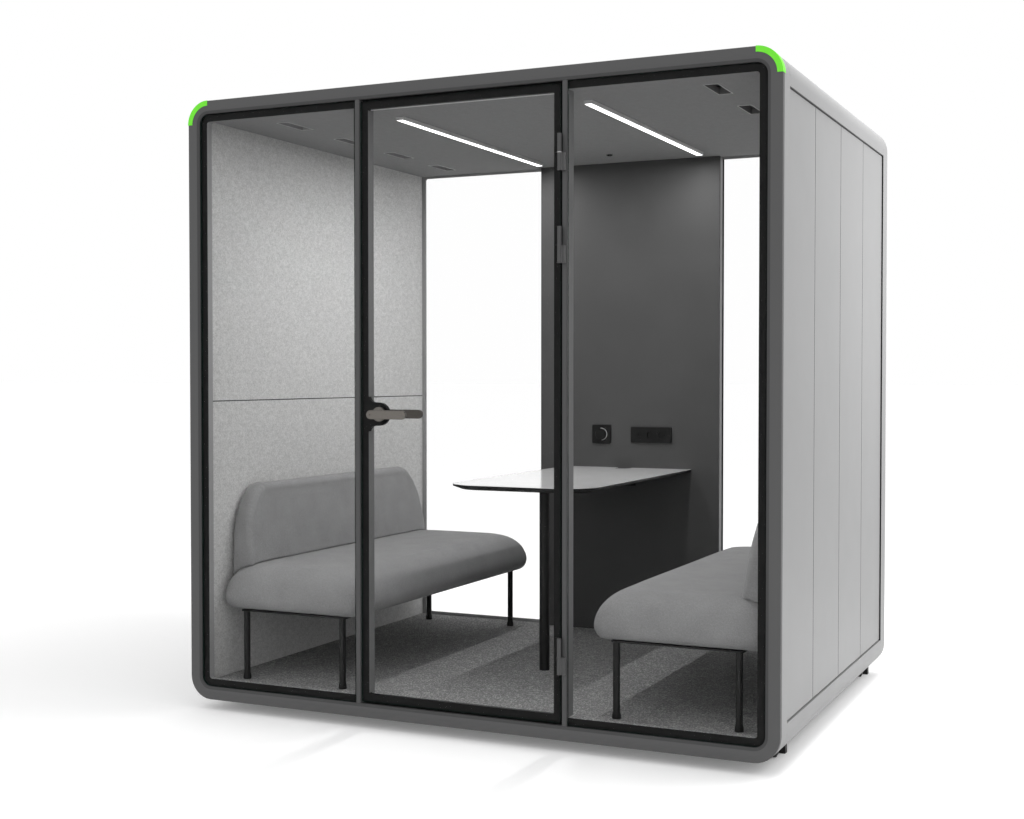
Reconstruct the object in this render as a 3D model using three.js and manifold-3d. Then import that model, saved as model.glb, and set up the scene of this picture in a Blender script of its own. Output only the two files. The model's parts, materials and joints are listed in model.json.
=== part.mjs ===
// Acoustic meeting pod for four people: a rounded tube of a shell with a glazed front, a hinged glass door,
// a table and two sofas. Millimetres, +Z up, the front faces -Y. Shell sizes are measured from the front face
// of the front ring, from the underside of the shell and from the middle of its width.
import * as THREE from 'three';
import { mergeVertices } from 'three/addons/utils/BufferGeometryUtils.js';
import Module from 'manifold-3d';

const wasm = await Module();
wasm.setup();

// Shell
const POD_W = 2250;
const POD_D = 1732;
const POD_H = 2230;
const CORNER_R = 86;
const WALL_T = 44;
const ROOF_T = 20;
const FLOOR_T = 56;
const RAIL_H = 114;
const GROOVE = 5;
const GROOVE_D = 14;
const INNER_R = 4;
const CLEAR = 0.3;
const ARC_STEPS = 8;

// Front ring, band and corner accents
const RING_FACE = 38;
const BEVEL_W = 10;
const BEVEL_D = 4;
const RING_D = 20;
const RING_EDGE = 1.5;
const BAND_D = 88;
const ACCENT_W = 18;
const ACCENT_D = 30;
const ACCENT_PROUD = 1;

// Side planks
const FIRST_JOINT = 457;
const PLANK_PITCH = 399.5;
const PLANK_COUNT = 4;
const PLANK_V = 2;

// Glazing
const GLASS_T = 8;
const GLASS_GAP = 3;
const BORDER_W = 28;
const BORDER_LAP = 10;
const NOSE_W = 18;
const NOSE_EDGE = 2;
const MULLION_D = 30;
const STOP_LAP = 20;
const STOP_GAP = 2;

// Rear wall
const REAR_BAND_D = 85;
const REAR_RECESS = 12;
const REVEAL_D = 52;
const REVEAL_T = 8;
const REAR_LIP = 47;
const POST_X = 423;
const POST_W = 30;
const LINING_T = 12;
const INLET_W = 48;
const INLET_H = 30;
const INLET_DEEP = 8;
const INLET_X = 330;
const INLET_Z = 130;
const INLET_PIN_W = 2;
const INLET_PIN_H = 5;
const INLET_PIN_PITCH = 14;

// Linings
const FELT_T = 12.5;
const CARPET_T = 6.2;
const CEIL_DROP = 54;
const CEIL_T = 12;
const SEAM_Z = 1115;
const SEAM_W = 4;
const SEAM_DEEP = 3;
const VENT_L = 172;
const VENT_W = 46;
const VENT_X = 836;
const VENT_Y = 277;
const VENT_PITCH = 400;
const SENSOR_R = 14;
const SENSOR_T = 6;
const SENSOR_REAR = 228;
const LED_W = 32;
const LED_T = 13;
const LED_X = 373;
const LED_FRONT = 268;
const LED_REAR = 127;
const LED_EDGE = 3;

// Roof outlets
const OUTLET_L = 150;
const OUTLET_W = 9;
const OUTLET_PITCH = 22;
const OUTLET_COUNT = 6;
const OUTLET_X = 640;
const OUTLET_REAR = 432;

// Door leaf
const DOOR_HALF = 382;
const LEAF_GAP = 6;
const LEAF_GAP_Z = 9;
const DOOR_FRAME_W = 26;
const DOOR_FRAME_T = 15.7;
const LEAF_R = 5;
const BOSS_R = 41;
const BOSS_X = 316;
const BOSS_FILLET = 27;

// Handle and latch
const HANDLE_X = 307;
const HANDLE_Z = 1076;
const ROSE_R = 26;
const ROSE_T = 8;
const SLEEVE_R = 11;
const SPINDLE_R = 6;
const LEVER_LEN = 124;
const LEVER_H = 31;
const LEVER_T = 12;
const LEVER_EDGE = 1.5;
const LEVER_OFF = 55;
const LEVER_IN_OFF = 28;
const NECK_R = 10;
const HUB_DOT_R = 3;
const HUB_DOT_D = 2.5;
const BOLT_L = 50;
const BOLT_H = 16;
const BOLT_T = 9;
const STRIKE_IN = 6;
const STRIKE_SPARE = 4;
const STRIKE_CLEAR = 1.5;

// Hinges, each a lower knuckle with a pin on the mullion and a bored upper knuckle on the leaf
const HINGE_LOW = 224;
const HINGE_MID = 530.5;
const HINGE_TOP = 226;
const HINGE_LEN = 121;
const HINGE_R = 7.4;
const HINGE_OUT = 2;
const HINGE_AHEAD = 12;
const HINGE_PIN_R = 4;
const HINGE_CAP = 6;
const COLLAR_R = 8.2;
const COLLAR_T = 3;
const FLAG_W = 20;
const FLAG_T = 4;
const FLAG_FIX_W = 18;
const FLAG_SINK = 2;

// Table
const TABLE_H = 737;
const TABLE_W = 596;
const TABLE_L = 1230;
const TABLE_T = 20;
const TABLE_EDGE = 8;
const TABLE_UNDERCUT = 34;
const TABLE_R = 140;
const FACE_T = 1;
const CABLE_W = 70;
const CABLE_D = 70;
const CABLE_X = -11;
const BEAM_W = 84;
const BEAM_T = 7;
const BEAM_SET = 138;
const COLUMN_D = 40;
const COLUMN_SET = 308;
const FLANGE_H = 60;
const FLANGE_T = 6;

// Sofas
const SEAT_DEPTH = 601;
const SEAT_T = 168;
const SEAT_Y = 92;
const SEAT_REAR_GAP = 60;
const SEAT_WALL_GAP = 10;
const SEAT_WIDE = 38;
const SEAT_LOW_IN = 39;
const SEAT_AISLE_IN = 106;
const SEAT_REAR_IN = 75;
const SEAT_END_IN = 106;
const SEAT_AISLE_R = 18;
const SEAT_REAR_R = 34;
const SEAT_TOP_R = 96;
const SEAT_LOW_STEPS = 4;
const SEAT_STEPS = 8;
const BACK_T = 107.8;
const BACK_TOP_T = 60;
const BACK_H = 300;
const BACK_DROP = 50;
const BACK_INSET = 68;
const BACK_TAPER = 12;
const BACK_CURVE_W = 138;
const BACK_CURVE_H = 220;
const BACK_SOFT = 20;
const BACK_STEPS = 4;
const BOARD_T = 6;
const BOARD_INSET = 47;
const LEG_H = 257;
const LEG_R = 12;
const LEG_FOOT_R = 15;
const LEG_FOOT_H = 12;
const LEG_AISLE = 79;
const LEG_REAR = 99;
const LEG_END = 33;
const STAY_W = 40;
const STAY_T = 5;
const STAY_UP = 150;
const STAY_INSET = 330;

// Control and socket plates
const CTRL_W = 88;
const CTRL_H = 84;
const CTRL_T = 10;
const CTRL_X = -122;
const PLATE_Z = 948;
const PLATE_R = 4;
const KNOB_R = 25;
const KNOB_T = 13;
const KNOB_EDGE = 3;
const KNOB_STEM_R = 5;
const KNOB_STEM_L = 6;
const SOCKET_W = 190;
const SOCKET_H = 69;
const SOCKET_X = 114;
const SOCKET_R = 19;
const SOCKET_DEEP = 5;
const SOCKET_PITCH = 52;
const PIN_R = 2.4;
const PIN_PITCH = 19;
const USB_W = 24;
const USB_H = 14;

// Feet with their wheels
const FOOT_H = 40;
const FOOT_SIDE = 81;
const FOOT_FRONT = 240;
const FOOT_REAR = 112;
const FOOT_LEN = 84;
const FOOT_LEAD = 26;
const FOOT_W = 44;
const FOOT_PLATE_T = 4;
const GLIDE_L = 24;
const CHEEK_T = 3;
const WHEEL_R = 18;
const WHEEL_W = 18;
const WHEEL_LIFT = 1;
const WHEEL_SIDE = 1;
const WHEEL_EDGE = 3;
const AXLE_R = 4;

// Places that follow from the sizes above
const hw = POD_W / 2;
const ringW = RING_FACE + BEVEL_W;
const borderIn = ringW + BORDER_W;
const glassFront = BEVEL_D;
const glassBack = glassFront + GLASS_T;
const leafBack = glassBack + CLEAR + DOOR_FRAME_T;
const stopY = leafBack + STOP_GAP;
const borderBack = stopY + BORDER_LAP;
const noseIn = DOOR_HALF + LEAF_GAP;
const noseOut = noseIn + NOSE_W;
const rearY = POD_D - REAR_BAND_D;
const revealOut = POD_D - REAR_RECESS;
const revealIn = revealOut - REVEAL_D;
const bandY = revealOut - REVEAL_T;
const innerX = hw - WALL_T;
const liningY0 = borderBack + CLEAR;
const liningY1 = bandY - CLEAR;
const floorTop = FLOOR_T + CLEAR + CARPET_T;
const ceilTop = POD_H - CEIL_DROP;
const ceilBottom = ceilTop - CEIL_T;
const feltX = innerX - CLEAR - FELT_T;
const leafBottom = ringW + LEAF_GAP_Z;
const leafTop = POD_H - leafBottom;
const leverCentre = glassFront - LEVER_OFF - LEVER_T / 2;
const leverReach = -(leverCentre - LEVER_T / 2);
const hingeX = DOOR_HALF + HINGE_OUT;
const hingeY = glassFront - HINGE_AHEAD;
const boltThrow = LEAF_GAP + STRIKE_IN;
const hingeHeights = [leafBottom + HINGE_LOW, leafTop - HINGE_MID, leafTop - HINGE_TOP];
const seatEnd = revealIn - SEAT_REAR_GAP;

// Basic operations
const axes = {
  x: new THREE.Matrix4().makeBasis(
    new THREE.Vector3(0, 1, 0), new THREE.Vector3(0, 0, 1), new THREE.Vector3(1, 0, 0)),
  y: new THREE.Matrix4().makeBasis(
    new THREE.Vector3(1, 0, 0), new THREE.Vector3(0, 0, 1), new THREE.Vector3(0, -1, 0)),
  z: new THREE.Matrix4(),
};

// Shape carried along an axis between two positions, with an optional rounded edge at both ends.
// Along x the shape lies in (y, z), along y in (x, z) and along z in (x, y).
function prism(shape, axis, from, to, edge = 0, steps = ARC_STEPS, edgeSteps = 2) {
  const geometry = new THREE.ExtrudeGeometry(shape, {
    depth: to - from - 2 * edge,
    bevelEnabled: edge > 0,
    bevelThickness: edge,
    bevelSize: edge,
    bevelOffset: -edge,
    bevelSegments: edgeSteps,
    curveSegments: steps,
  });
  geometry.translate(0, 0, edge);
  geometry.applyMatrix4(axes[axis]);
  if (axis === 'y') geometry.translate(0, to, 0);
  if (axis === 'x') geometry.translate(from, 0, 0);
  if (axis === 'z') geometry.translate(0, 0, from);
  return geometry;
}

function polygon(points) {
  return new THREE.Shape(points.map(([a, b]) => new THREE.Vector2(a, b)));
}

function rectangle(a0, b0, a1, b1) {
  return polygon([[a0, b0], [a1, b0], [a1, b1], [a0, b1]]);
}

// Rectangle with one radius for each corner: lower left, lower right, upper right, upper left.
function rounded(a0, b0, a1, b1, radii) {
  const [ll, lr, ur, ul] = Array.isArray(radii) ? radii : [radii, radii, radii, radii];
  const shape = new THREE.Shape();
  shape.moveTo(a0 + ll, b0);
  shape.lineTo(a1 - lr, b0);
  if (lr > 0) shape.absarc(a1 - lr, b0 + lr, lr, -Math.PI / 2, 0, false);
  shape.lineTo(a1, b1 - ur);
  if (ur > 0) shape.absarc(a1 - ur, b1 - ur, ur, 0, Math.PI / 2, false);
  shape.lineTo(a0 + ul, b1);
  if (ul > 0) shape.absarc(a0 + ul, b1 - ul, ul, Math.PI / 2, Math.PI, false);
  shape.lineTo(a0, b0 + ll);
  if (ll > 0) shape.absarc(a0 + ll, b0 + ll, ll, Math.PI, Math.PI * 1.5, false);
  return shape;
}

function disc(a, b, r) {
  const shape = new THREE.Shape();
  shape.absarc(a, b, r, 0, Math.PI * 2, false);
  return shape;
}

function box(x0, y0, z0, x1, y1, z1) {
  return prism(rectangle(x0, y0, x1, y1), 'z', z0, z1);
}

function rod(axis, a, b, r, from, to, steps = 8) {
  return prism(disc(a, b, r), axis, from, to, 0, steps);
}

// Profile of (radius, height) points turned about an axis through a point.
function turned(profile, axis, at, steps = 24) {
  const points = profile.map(([r, h]) => new THREE.Vector2(r, h));
  const geometry = new THREE.LatheGeometry(points, steps);
  if (axis === 'z') geometry.rotateX(Math.PI / 2);
  if (axis === 'x') geometry.rotateZ(-Math.PI / 2);
  geometry.translate(...at);
  return outward(geometry);
}

function indexed(geometry) {
  const bare = geometry.clone();
  bare.deleteAttribute('normal');
  bare.deleteAttribute('uv');
  return mergeVertices(bare, 1e-4);
}

// Closed mesh from vertices and triangles, turned so that its faces point out.
function meshed(vertices, triangles) {
  const geometry = new THREE.BufferGeometry();
  geometry.setAttribute('position', new THREE.Float32BufferAttribute(vertices.flat(), 3));
  geometry.setIndex(triangles.flat());
  return outward(geometry);
}

function outward(source) {
  const geometry = indexed(source);
  const p = geometry.attributes.position;
  const index = geometry.index.array;
  const v = [0, 1, 2].map(() => new THREE.Vector3());
  const kept = [];
  let volume = 0;
  for (let i = 0; i < index.length; i += 3) {
    if (index[i] === index[i + 1] || index[i + 1] === index[i + 2] || index[i] === index[i + 2]) continue;
    kept.push(index[i], index[i + 1], index[i + 2]);
    v.forEach((q, k) => q.fromBufferAttribute(p, index[i + k]));
    volume += v[0].dot(v[1].clone().cross(v[2]));
  }
  if (volume < 0) {
    for (let i = 0; i < kept.length; i += 3) [kept[i], kept[i + 1]] = [kept[i + 1], kept[i]];
  }
  geometry.setIndex(kept);
  return geometry;
}

function body(geometry) {
  const g = outward(geometry);
  return new wasm.Manifold(new wasm.Mesh({
    numProp: 3,
    vertProperties: Float32Array.from(g.attributes.position.array),
    triVerts: Uint32Array.from(g.index.array),
  }));
}

function geometryOf(solid) {
  const mesh = solid.getMesh();
  const geometry = new THREE.BufferGeometry();
  geometry.setAttribute('position', new THREE.Float32BufferAttribute(mesh.vertProperties, 3));
  geometry.setIndex(Array.from(mesh.triVerts));
  return geometry;
}

function join(...geometries) {
  return geometryOf(geometries.map(body).reduce((a, b) => a.add(b)));
}

function cut(geometry, ...tools) {
  return geometryOf(tools.map(body).reduce((a, b) => a.subtract(b), body(geometry)));
}

// Ring swept round the rounded outline of the shell. The profile holds inset from the outline, depth, and a
// corner radius where it isn't concentric with the outline.
function ring(profile, steps = ARC_STEPS) {
  const vertices = [];
  const corners = [[1, 1, 0], [-1, 1, 90], [-1, -1, 180], [1, -1, 270]];
  for (const [sx, sz, start] of corners) {
    for (let i = 0; i <= steps; i++) {
      const a = THREE.MathUtils.degToRad(start + 90 * i / steps);
      for (const [inset, depth, own] of profile) {
        const r = own ?? Math.max(CORNER_R - inset, INNER_R);
        const x = sx * (hw - inset - r) + r * Math.cos(a);
        const z = POD_H / 2 + sz * (POD_H / 2 - inset - r) + r * Math.sin(a);
        vertices.push([x, depth, z]);
      }
    }
  }
  const n = profile.length;
  const stations = vertices.length / n;
  const triangles = [];
  for (let i = 0; i < stations; i++) {
    for (let j = 0; j < n; j++) {
      const a = i * n + j;
      const b = i * n + (j + 1) % n;
      const c = ((i + 1) % stations) * n + j;
      const d = ((i + 1) % stations) * n + (j + 1) % n;
      triangles.push([a, b, c], [b, d, c]);
    }
  }
  return meshed(vertices, triangles);
}

// Skin over closed loops of equal point count, flat at both ends.
function loft(loops) {
  const n = loops[0].length;
  const triangles = [];
  for (let i = 0; i + 1 < loops.length; i++) {
    for (let j = 0; j < n; j++) {
      const a = i * n + j;
      const b = i * n + (j + 1) % n;
      triangles.push([a, b, a + n], [b, b + n, a + n]);
    }
  }
  const last = (loops.length - 1) * n;
  for (let j = 1; j + 1 < n; j++) {
    triangles.push([0, j + 1, j], [last, last + j, last + j + 1]);
  }
  return meshed(loops.flat(), triangles);
}

function mirrored(geometry) {
  const copy = geometry.clone();
  copy.scale(-1, 1, 1);
  return outward(copy);
}

// Finishes
const finish = {
  graphite: { color: 0x565656, roughness: 0.5, metalness: 0.3 },
  shell: { color: 0xb9b9b9, roughness: 0.55, metalness: 0.2 },
  green: { color: 0x6fe02a, roughness: 0.45, metalness: 0 },
  black: { color: 0x1d1d1d, roughness: 0.5, metalness: 0 },
  blackSteel: { color: 0x191919, roughness: 0.5, metalness: 0.4 },
  glass: { color: 0xeef3f2, roughness: 0.05, metalness: 0, transparent: true, opacity: 0.2 },
  felt: { color: 0xa9a9a7, roughness: 0.95, metalness: 0 },
  ceiling: { color: 0x8d8d8d, roughness: 0.9, metalness: 0 },
  lining: { color: 0x4a4a4a, roughness: 0.8, metalness: 0 },
  carpet: { color: 0x444443, roughness: 1, metalness: 0 },
  opal: { color: 0xffffff, roughness: 0.4, metalness: 0 },
  sofa: { color: 0x7c7c7c, roughness: 0.95, metalness: 0 },
  laminate: { color: 0xf2f2f2, roughness: 0.4, metalness: 0 },
  bronze: { color: 0x6c6762, roughness: 0.4, metalness: 0.6 },
  tyre: { color: 0x202020, roughness: 0.8, metalness: 0 },
};

const pod = new THREE.Group();
// The origin stands on the floor, in the middle of the width and of the depth with the levers counted in.
pod.position.set(0, (leverReach - POD_D) / 2, FOOT_H);

function place(name, geometry, material) {
  const mesh = new THREE.Mesh(geometry, new THREE.MeshStandardMaterial(finish[material]));
  mesh.name = name;
  pod.add(mesh);
}

// Corner accents: quarter arcs let into the two upper front corners of the ring and the band.
function accentArc(side, inner, outer, from, to, spare) {
  const cx = side * (hw - CORNER_R);
  const cz = POD_H - CORNER_R;
  const more = spare / CORNER_R;
  const start = (side > 0 ? 0 : Math.PI / 2) - more;
  const end = (side > 0 ? Math.PI / 2 : Math.PI) + more;
  const shape = new THREE.Shape();
  shape.absarc(cx, cz, outer, start, end, false);
  shape.absarc(cx, cz, inner, end, start, true);
  return prism(shape, 'y', from, to, 0, 10);
}

const accentSeats = [-1, 1].map((side) => accentArc(
  side, CORNER_R - ACCENT_W - CLEAR, CORNER_R + 10, -10, ACCENT_D + CLEAR, CLEAR));
place('accent_left', accentArc(
  -1, CORNER_R - ACCENT_W, CORNER_R + ACCENT_PROUD, -ACCENT_PROUD, ACCENT_D, 0), 'green');
place('accent_right', accentArc(
  1, CORNER_R - ACCENT_W, CORNER_R + ACCENT_PROUD, -ACCENT_PROUD, ACCENT_D, 0), 'green');

// Front ring with its bevelled inner edge, and the light band that carries it.
place('front_ring', cut(ring([
  [0, RING_EDGE], [RING_EDGE, 0], [RING_FACE, 0], [ringW, BEVEL_D], [ringW, RING_D], [0, RING_D],
]), ...accentSeats), 'graphite');
place('front_band', cut(ring([
  [0, RING_D + CLEAR], [WALL_T, RING_D + CLEAR, INNER_R], [WALL_T, BAND_D, INNER_R], [0, BAND_D],
]), ...accentSeats), 'shell');

// Black border frame behind the fixed glass, set back behind the door leaf.
place('front_border', cut(ring([
  [ringW + CLEAR, glassBack + CLEAR], [borderIn, glassBack + CLEAR], [borderIn, borderBack],
  [WALL_T + CLEAR, borderBack, INNER_R], [WALL_T + CLEAR, RING_D + CLEAR, INNER_R],
  [ringW + CLEAR, RING_D + CLEAR],
]), box(-noseOut - CLEAR, 0, -1, noseOut + CLEAR, stopY, POD_H + 1)), 'black');

// Mullions: a slim nose between the panes with a door stop behind it.
function mullion() {
  const nose = polygon([
    [noseIn, glassFront + NOSE_EDGE], [noseIn + NOSE_EDGE, glassFront], [noseOut - NOSE_EDGE, glassFront],
    [noseOut, glassFront + NOSE_EDGE], [noseOut, stopY - CLEAR], [noseIn, stopY - CLEAR],
  ]);
  const stop = polygon([
    [noseIn, glassBack], [noseOut, glassBack], [noseOut, stopY + MULLION_D],
    [DOOR_HALF - STOP_LAP, stopY + MULLION_D], [DOOR_HALF - STOP_LAP, stopY], [noseIn, stopY],
  ]);
  return join(
    prism(nose, 'z', ringW + CLEAR, POD_H - ringW - CLEAR),
    prism(stop, 'z', borderIn + CLEAR, POD_H - borderIn - CLEAR));
}

const boltY = glassBack + CLEAR + DOOR_FRAME_T / 2;
const strike = box(
  -noseIn - STRIKE_IN - STRIKE_SPARE, boltY - BOLT_T / 2 - STRIKE_CLEAR,
  HANDLE_Z - BOLT_H / 2 - STRIKE_CLEAR,
  -noseIn + 1, boltY + BOLT_T / 2 + STRIKE_CLEAR, HANDLE_Z + BOLT_H / 2 + STRIKE_CLEAR);
place('mullion_left', cut(mirrored(mullion()), strike), 'graphite');

function hingeFixed(z) {
  const low = z - HINGE_LEN / 2;
  const mid = z - CLEAR / 2;
  const flag = box(hingeX, hingeY, low, noseIn + FLAG_FIX_W - NOSE_EDGE * 2, glassFront + FLAG_SINK, mid - COLLAR_T);
  const web = box(hingeX - 1, hingeY - HINGE_R / 2, low, hingeX + 1, hingeY + 1, mid - COLLAR_T);
  const barrel = turned([
    [0, low], [HINGE_R, low], [HINGE_R, mid - COLLAR_T], [COLLAR_R, mid - COLLAR_T], [COLLAR_R, mid],
    [HINGE_PIN_R, mid], [HINGE_PIN_R, z + HINGE_LEN / 2 - HINGE_CAP - CLEAR],
    [0, z + HINGE_LEN / 2 - HINGE_CAP - CLEAR],
  ], 'z', [hingeX, hingeY, 0], 16);
  return [flag, web, barrel];
}

place('mullion_right', join(mullion(), ...hingeHeights.flatMap(hingeFixed)), 'graphite');

// Fixed panes of the front.
const paneR = Math.max(CORNER_R - ringW - GLASS_GAP, INNER_R);
const frontPane = prism(rounded(
  noseOut + GLASS_GAP, ringW + GLASS_GAP, hw - ringW - GLASS_GAP, POD_H - ringW - GLASS_GAP,
  [0, paneR, paneR, 0]), 'y', glassFront, glassBack);
place('front_glass_right', frontPane, 'glass');
place('front_glass_left', mirrored(frontPane), 'glass');

// Roof and floor, each one piece with its two rounded rails.
function tray(deck) {
  const shape = new THREE.Shape();
  shape.moveTo(-hw, RAIL_H);
  shape.lineTo(-hw, CORNER_R);
  shape.absarc(-hw + CORNER_R, CORNER_R, CORNER_R, Math.PI, Math.PI * 1.5, false);
  shape.lineTo(hw - CORNER_R, 0);
  shape.absarc(hw - CORNER_R, CORNER_R, CORNER_R, -Math.PI / 2, 0, false);
  shape.lineTo(hw, RAIL_H);
  shape.lineTo(innerX, RAIL_H);
  shape.lineTo(innerX, deck);
  shape.lineTo(-innerX, deck);
  shape.lineTo(-innerX, RAIL_H);
  return prism(shape, 'y', BAND_D + CLEAR, rearY - CLEAR);
}

place('floor_pan', tray(FLOOR_T), 'shell');
const roof = tray(ROOF_T);
roof.scale(1, 1, -1);
roof.translate(0, 0, POD_H);
const outlets = [];
for (const side of [-1, 1]) {
  for (let i = 0; i < OUTLET_COUNT; i++) {
    const y = POD_D - OUTLET_REAR + (i - (OUTLET_COUNT - 1) / 2) * OUTLET_PITCH;
    const shape = rounded(
      side * OUTLET_X - OUTLET_L / 2, y - OUTLET_W / 2, side * OUTLET_X + OUTLET_L / 2, y + OUTLET_W / 2,
      OUTLET_W / 2 - 0.1);
    outlets.push(prism(shape, 'z', POD_H - ROOF_T - 1, POD_H + 1, 0, 1));
  }
}
place('roof_shell', cut(outward(roof), ...outlets), 'shell');

// Side planks with fine V joints, and a shadow groove above, below and behind them.
const plankLow = RAIL_H + CLEAR;
const plankHigh = POD_H - RAIL_H - CLEAR;
for (let i = 0; i < PLANK_COUNT; i++) {
  const first = i === 0;
  const last = i === PLANK_COUNT - 1;
  const y0 = first ? BAND_D + CLEAR : FIRST_JOINT + (i - 1) * PLANK_PITCH + CLEAR / 2;
  const y1 = last ? rearY - CLEAR : FIRST_JOINT + i * PLANK_PITCH - CLEAR / 2;
  const step = GROOVE - CLEAR;
  const plank = prism(polygon([
    [innerX, plankLow], [hw - GROOVE_D, plankLow], [hw - GROOVE_D, plankLow + step], [hw, plankLow + step],
    [hw, plankHigh - step], [hw - GROOVE_D, plankHigh - step], [hw - GROOVE_D, plankHigh], [innerX, plankHigh],
  ]), 'y', y0, y1);
  const trims = [];
  const vee = (y) => prism(polygon([[hw - PLANK_V, y], [hw + 1, y - PLANK_V - 1], [hw + 1, y + PLANK_V + 1]]),
    'z', 0, POD_H);
  if (!first) trims.push(vee(y0));
  if (!last) trims.push(vee(y1));
  if (last) trims.push(box(hw - GROOVE_D, rearY - GROOVE, 0, hw + 1, rearY + 1, POD_H));
  const right = cut(plank, ...trims);
  place(`plank_right_${i + 1}`, right, 'shell');
  place(`plank_left_${i + 1}`, mirrored(right), 'shell');
}

// Rear band with a slim frame around the windows, a sill under the carpet and two posts beside the solid bay.
const post = box(
  POST_X - POST_W, revealIn + LINING_T + CLEAR, floorTop + CLEAR, POST_X, revealOut, ceilBottom - CLEAR);
const sill = box(-innerX - 1, rearY, WALL_T - 1, innerX + 1, bandY + 1, FLOOR_T);
place('rear_frame', join(ring([
  [0, rearY], [WALL_T, rearY, INNER_R], [WALL_T, bandY, INNER_R], [borderIn, bandY], [borderIn, revealOut],
  [REAR_LIP, revealOut], [REAR_LIP, POD_D], [0, POD_D],
]), sill, post, mirrored(post)), 'shell');
place('rear_inner_panel', box(
  -POST_X, revealIn, floorTop + CLEAR, POST_X, revealIn + LINING_T, ceilBottom - CLEAR), 'lining');
const rearJoint = POST_X - POST_W / 2;
const outerPanel = prism(
  rectangle(-rearJoint + GLASS_GAP / 2, REAR_LIP + CLEAR, rearJoint - GLASS_GAP / 2, POD_H - REAR_LIP - CLEAR),
  'y', revealOut + CLEAR, POD_D);
// Mains inlet: a recess with three blades in the outer rear panel.
const inlet = prism(rounded(
  INLET_X - INLET_W / 2, INLET_Z - INLET_H / 2, INLET_X + INLET_W / 2, INLET_Z + INLET_H / 2, [2, 2, 8, 8]),
'y', POD_D - INLET_DEEP, POD_D + 1, 0, 2);
const blades = [-1, 0, 1].map((i) => prism(rectangle(
  INLET_X + i * INLET_PIN_PITCH - INLET_PIN_W / 2, INLET_Z - INLET_PIN_H / 2 + (i ? 0 : INLET_PIN_H),
  INLET_X + i * INLET_PIN_PITCH + INLET_PIN_W / 2, INLET_Z + INLET_PIN_H / 2 + (i ? 0 : INLET_PIN_H)),
'y', POD_D - INLET_DEEP - 1, POD_D - 1));
place('rear_outer_panel', join(cut(outerPanel, inlet), ...blades), 'shell');
const rearPaneR = Math.max(CORNER_R - REAR_LIP - GLASS_GAP, INNER_R);
const rearPane = prism(rounded(
  rearJoint + GLASS_GAP / 2, REAR_LIP + GLASS_GAP, hw - REAR_LIP - GLASS_GAP, POD_H - REAR_LIP - GLASS_GAP,
  [0, rearPaneR, rearPaneR, 0]), 'y', revealOut + CLEAR, revealOut + CLEAR + GLASS_T);
place('rear_glass_right', rearPane, 'glass');
place('rear_glass_left', mirrored(rearPane), 'glass');

// Linings: carpet, felt walls with a horizontal seam, and a ceiling with air slots and a sensor.
place('carpet', box(
  -innerX + CLEAR, liningY0, FLOOR_T + CLEAR, innerX - CLEAR, liningY1, floorTop), 'carpet');
const ventCount = Math.floor((liningY1 - VENT_Y - VENT_L) / VENT_PITCH) + 1;
const slots = [];
for (const side of [-1, 1]) {
  for (let i = 0; i < ventCount; i++) {
    const y = VENT_Y + i * VENT_PITCH;
    slots.push(box(
      side * VENT_X - VENT_W / 2, y - VENT_L / 2, ceilBottom - 1, side * VENT_X + VENT_W / 2, y + VENT_L / 2,
      ceilTop + 1));
  }
}
const ceilingSlab = box(-innerX + CLEAR, liningY0, ceilBottom, innerX - CLEAR, liningY1, ceilTop);
const sensor = turned([
  [0, -SENSOR_T], [SENSOR_R * 0.6, -SENSOR_T], [SENSOR_R, -SENSOR_T / 2], [SENSOR_R, CEIL_T / 2], [0, CEIL_T / 2],
], 'z', [0, revealIn - SENSOR_REAR, ceilBottom], 16);
place('ceiling', cut(join(ceilingSlab, sensor), ...slots), 'ceiling');

const seam = prism(polygon([
  [feltX - 1, SEAM_Z - SEAM_W / 2], [feltX, SEAM_Z - SEAM_W / 2], [feltX + SEAM_DEEP, SEAM_Z],
  [feltX, SEAM_Z + SEAM_W / 2], [feltX - 1, SEAM_Z + SEAM_W / 2],
]), 'y', liningY0 - 1, liningY1 + 1);
const felt = cut(box(
  feltX, liningY0, floorTop + CLEAR, innerX - CLEAR, liningY1, ceilBottom - CLEAR), seam);
place('felt_right', felt, 'felt');
place('felt_left', mirrored(felt), 'felt');

// Ceiling lights.
const lightBar = prism(polygon([
  [LED_X - LED_W / 2, ceilBottom - CLEAR], [LED_X - LED_W / 2, ceilBottom - LED_T + LED_EDGE],
  [LED_X - LED_W / 2 + LED_EDGE, ceilBottom - LED_T], [LED_X + LED_W / 2 - LED_EDGE, ceilBottom - LED_T],
  [LED_X + LED_W / 2, ceilBottom - LED_T + LED_EDGE], [LED_X + LED_W / 2, ceilBottom - CLEAR],
]), 'y', LED_FRONT, revealIn - LED_REAR);
place('led_right', lightBar, 'opal');
place('led_left', mirrored(lightBar), 'opal');

// Door leaf: a pane with a black border frame behind it that widens into the lock case.
const spindleHole = rod('y', -HANDLE_X, HANDLE_Z, SLEEVE_R + CLEAR, -10, leafBack + 10);
place('door_glass', cut(prism(rounded(
  -DOOR_HALF, leafBottom, DOOR_HALF, leafTop, LEAF_R), 'y', glassFront, glassBack, 0, 3), spindleHole), 'glass');

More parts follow.
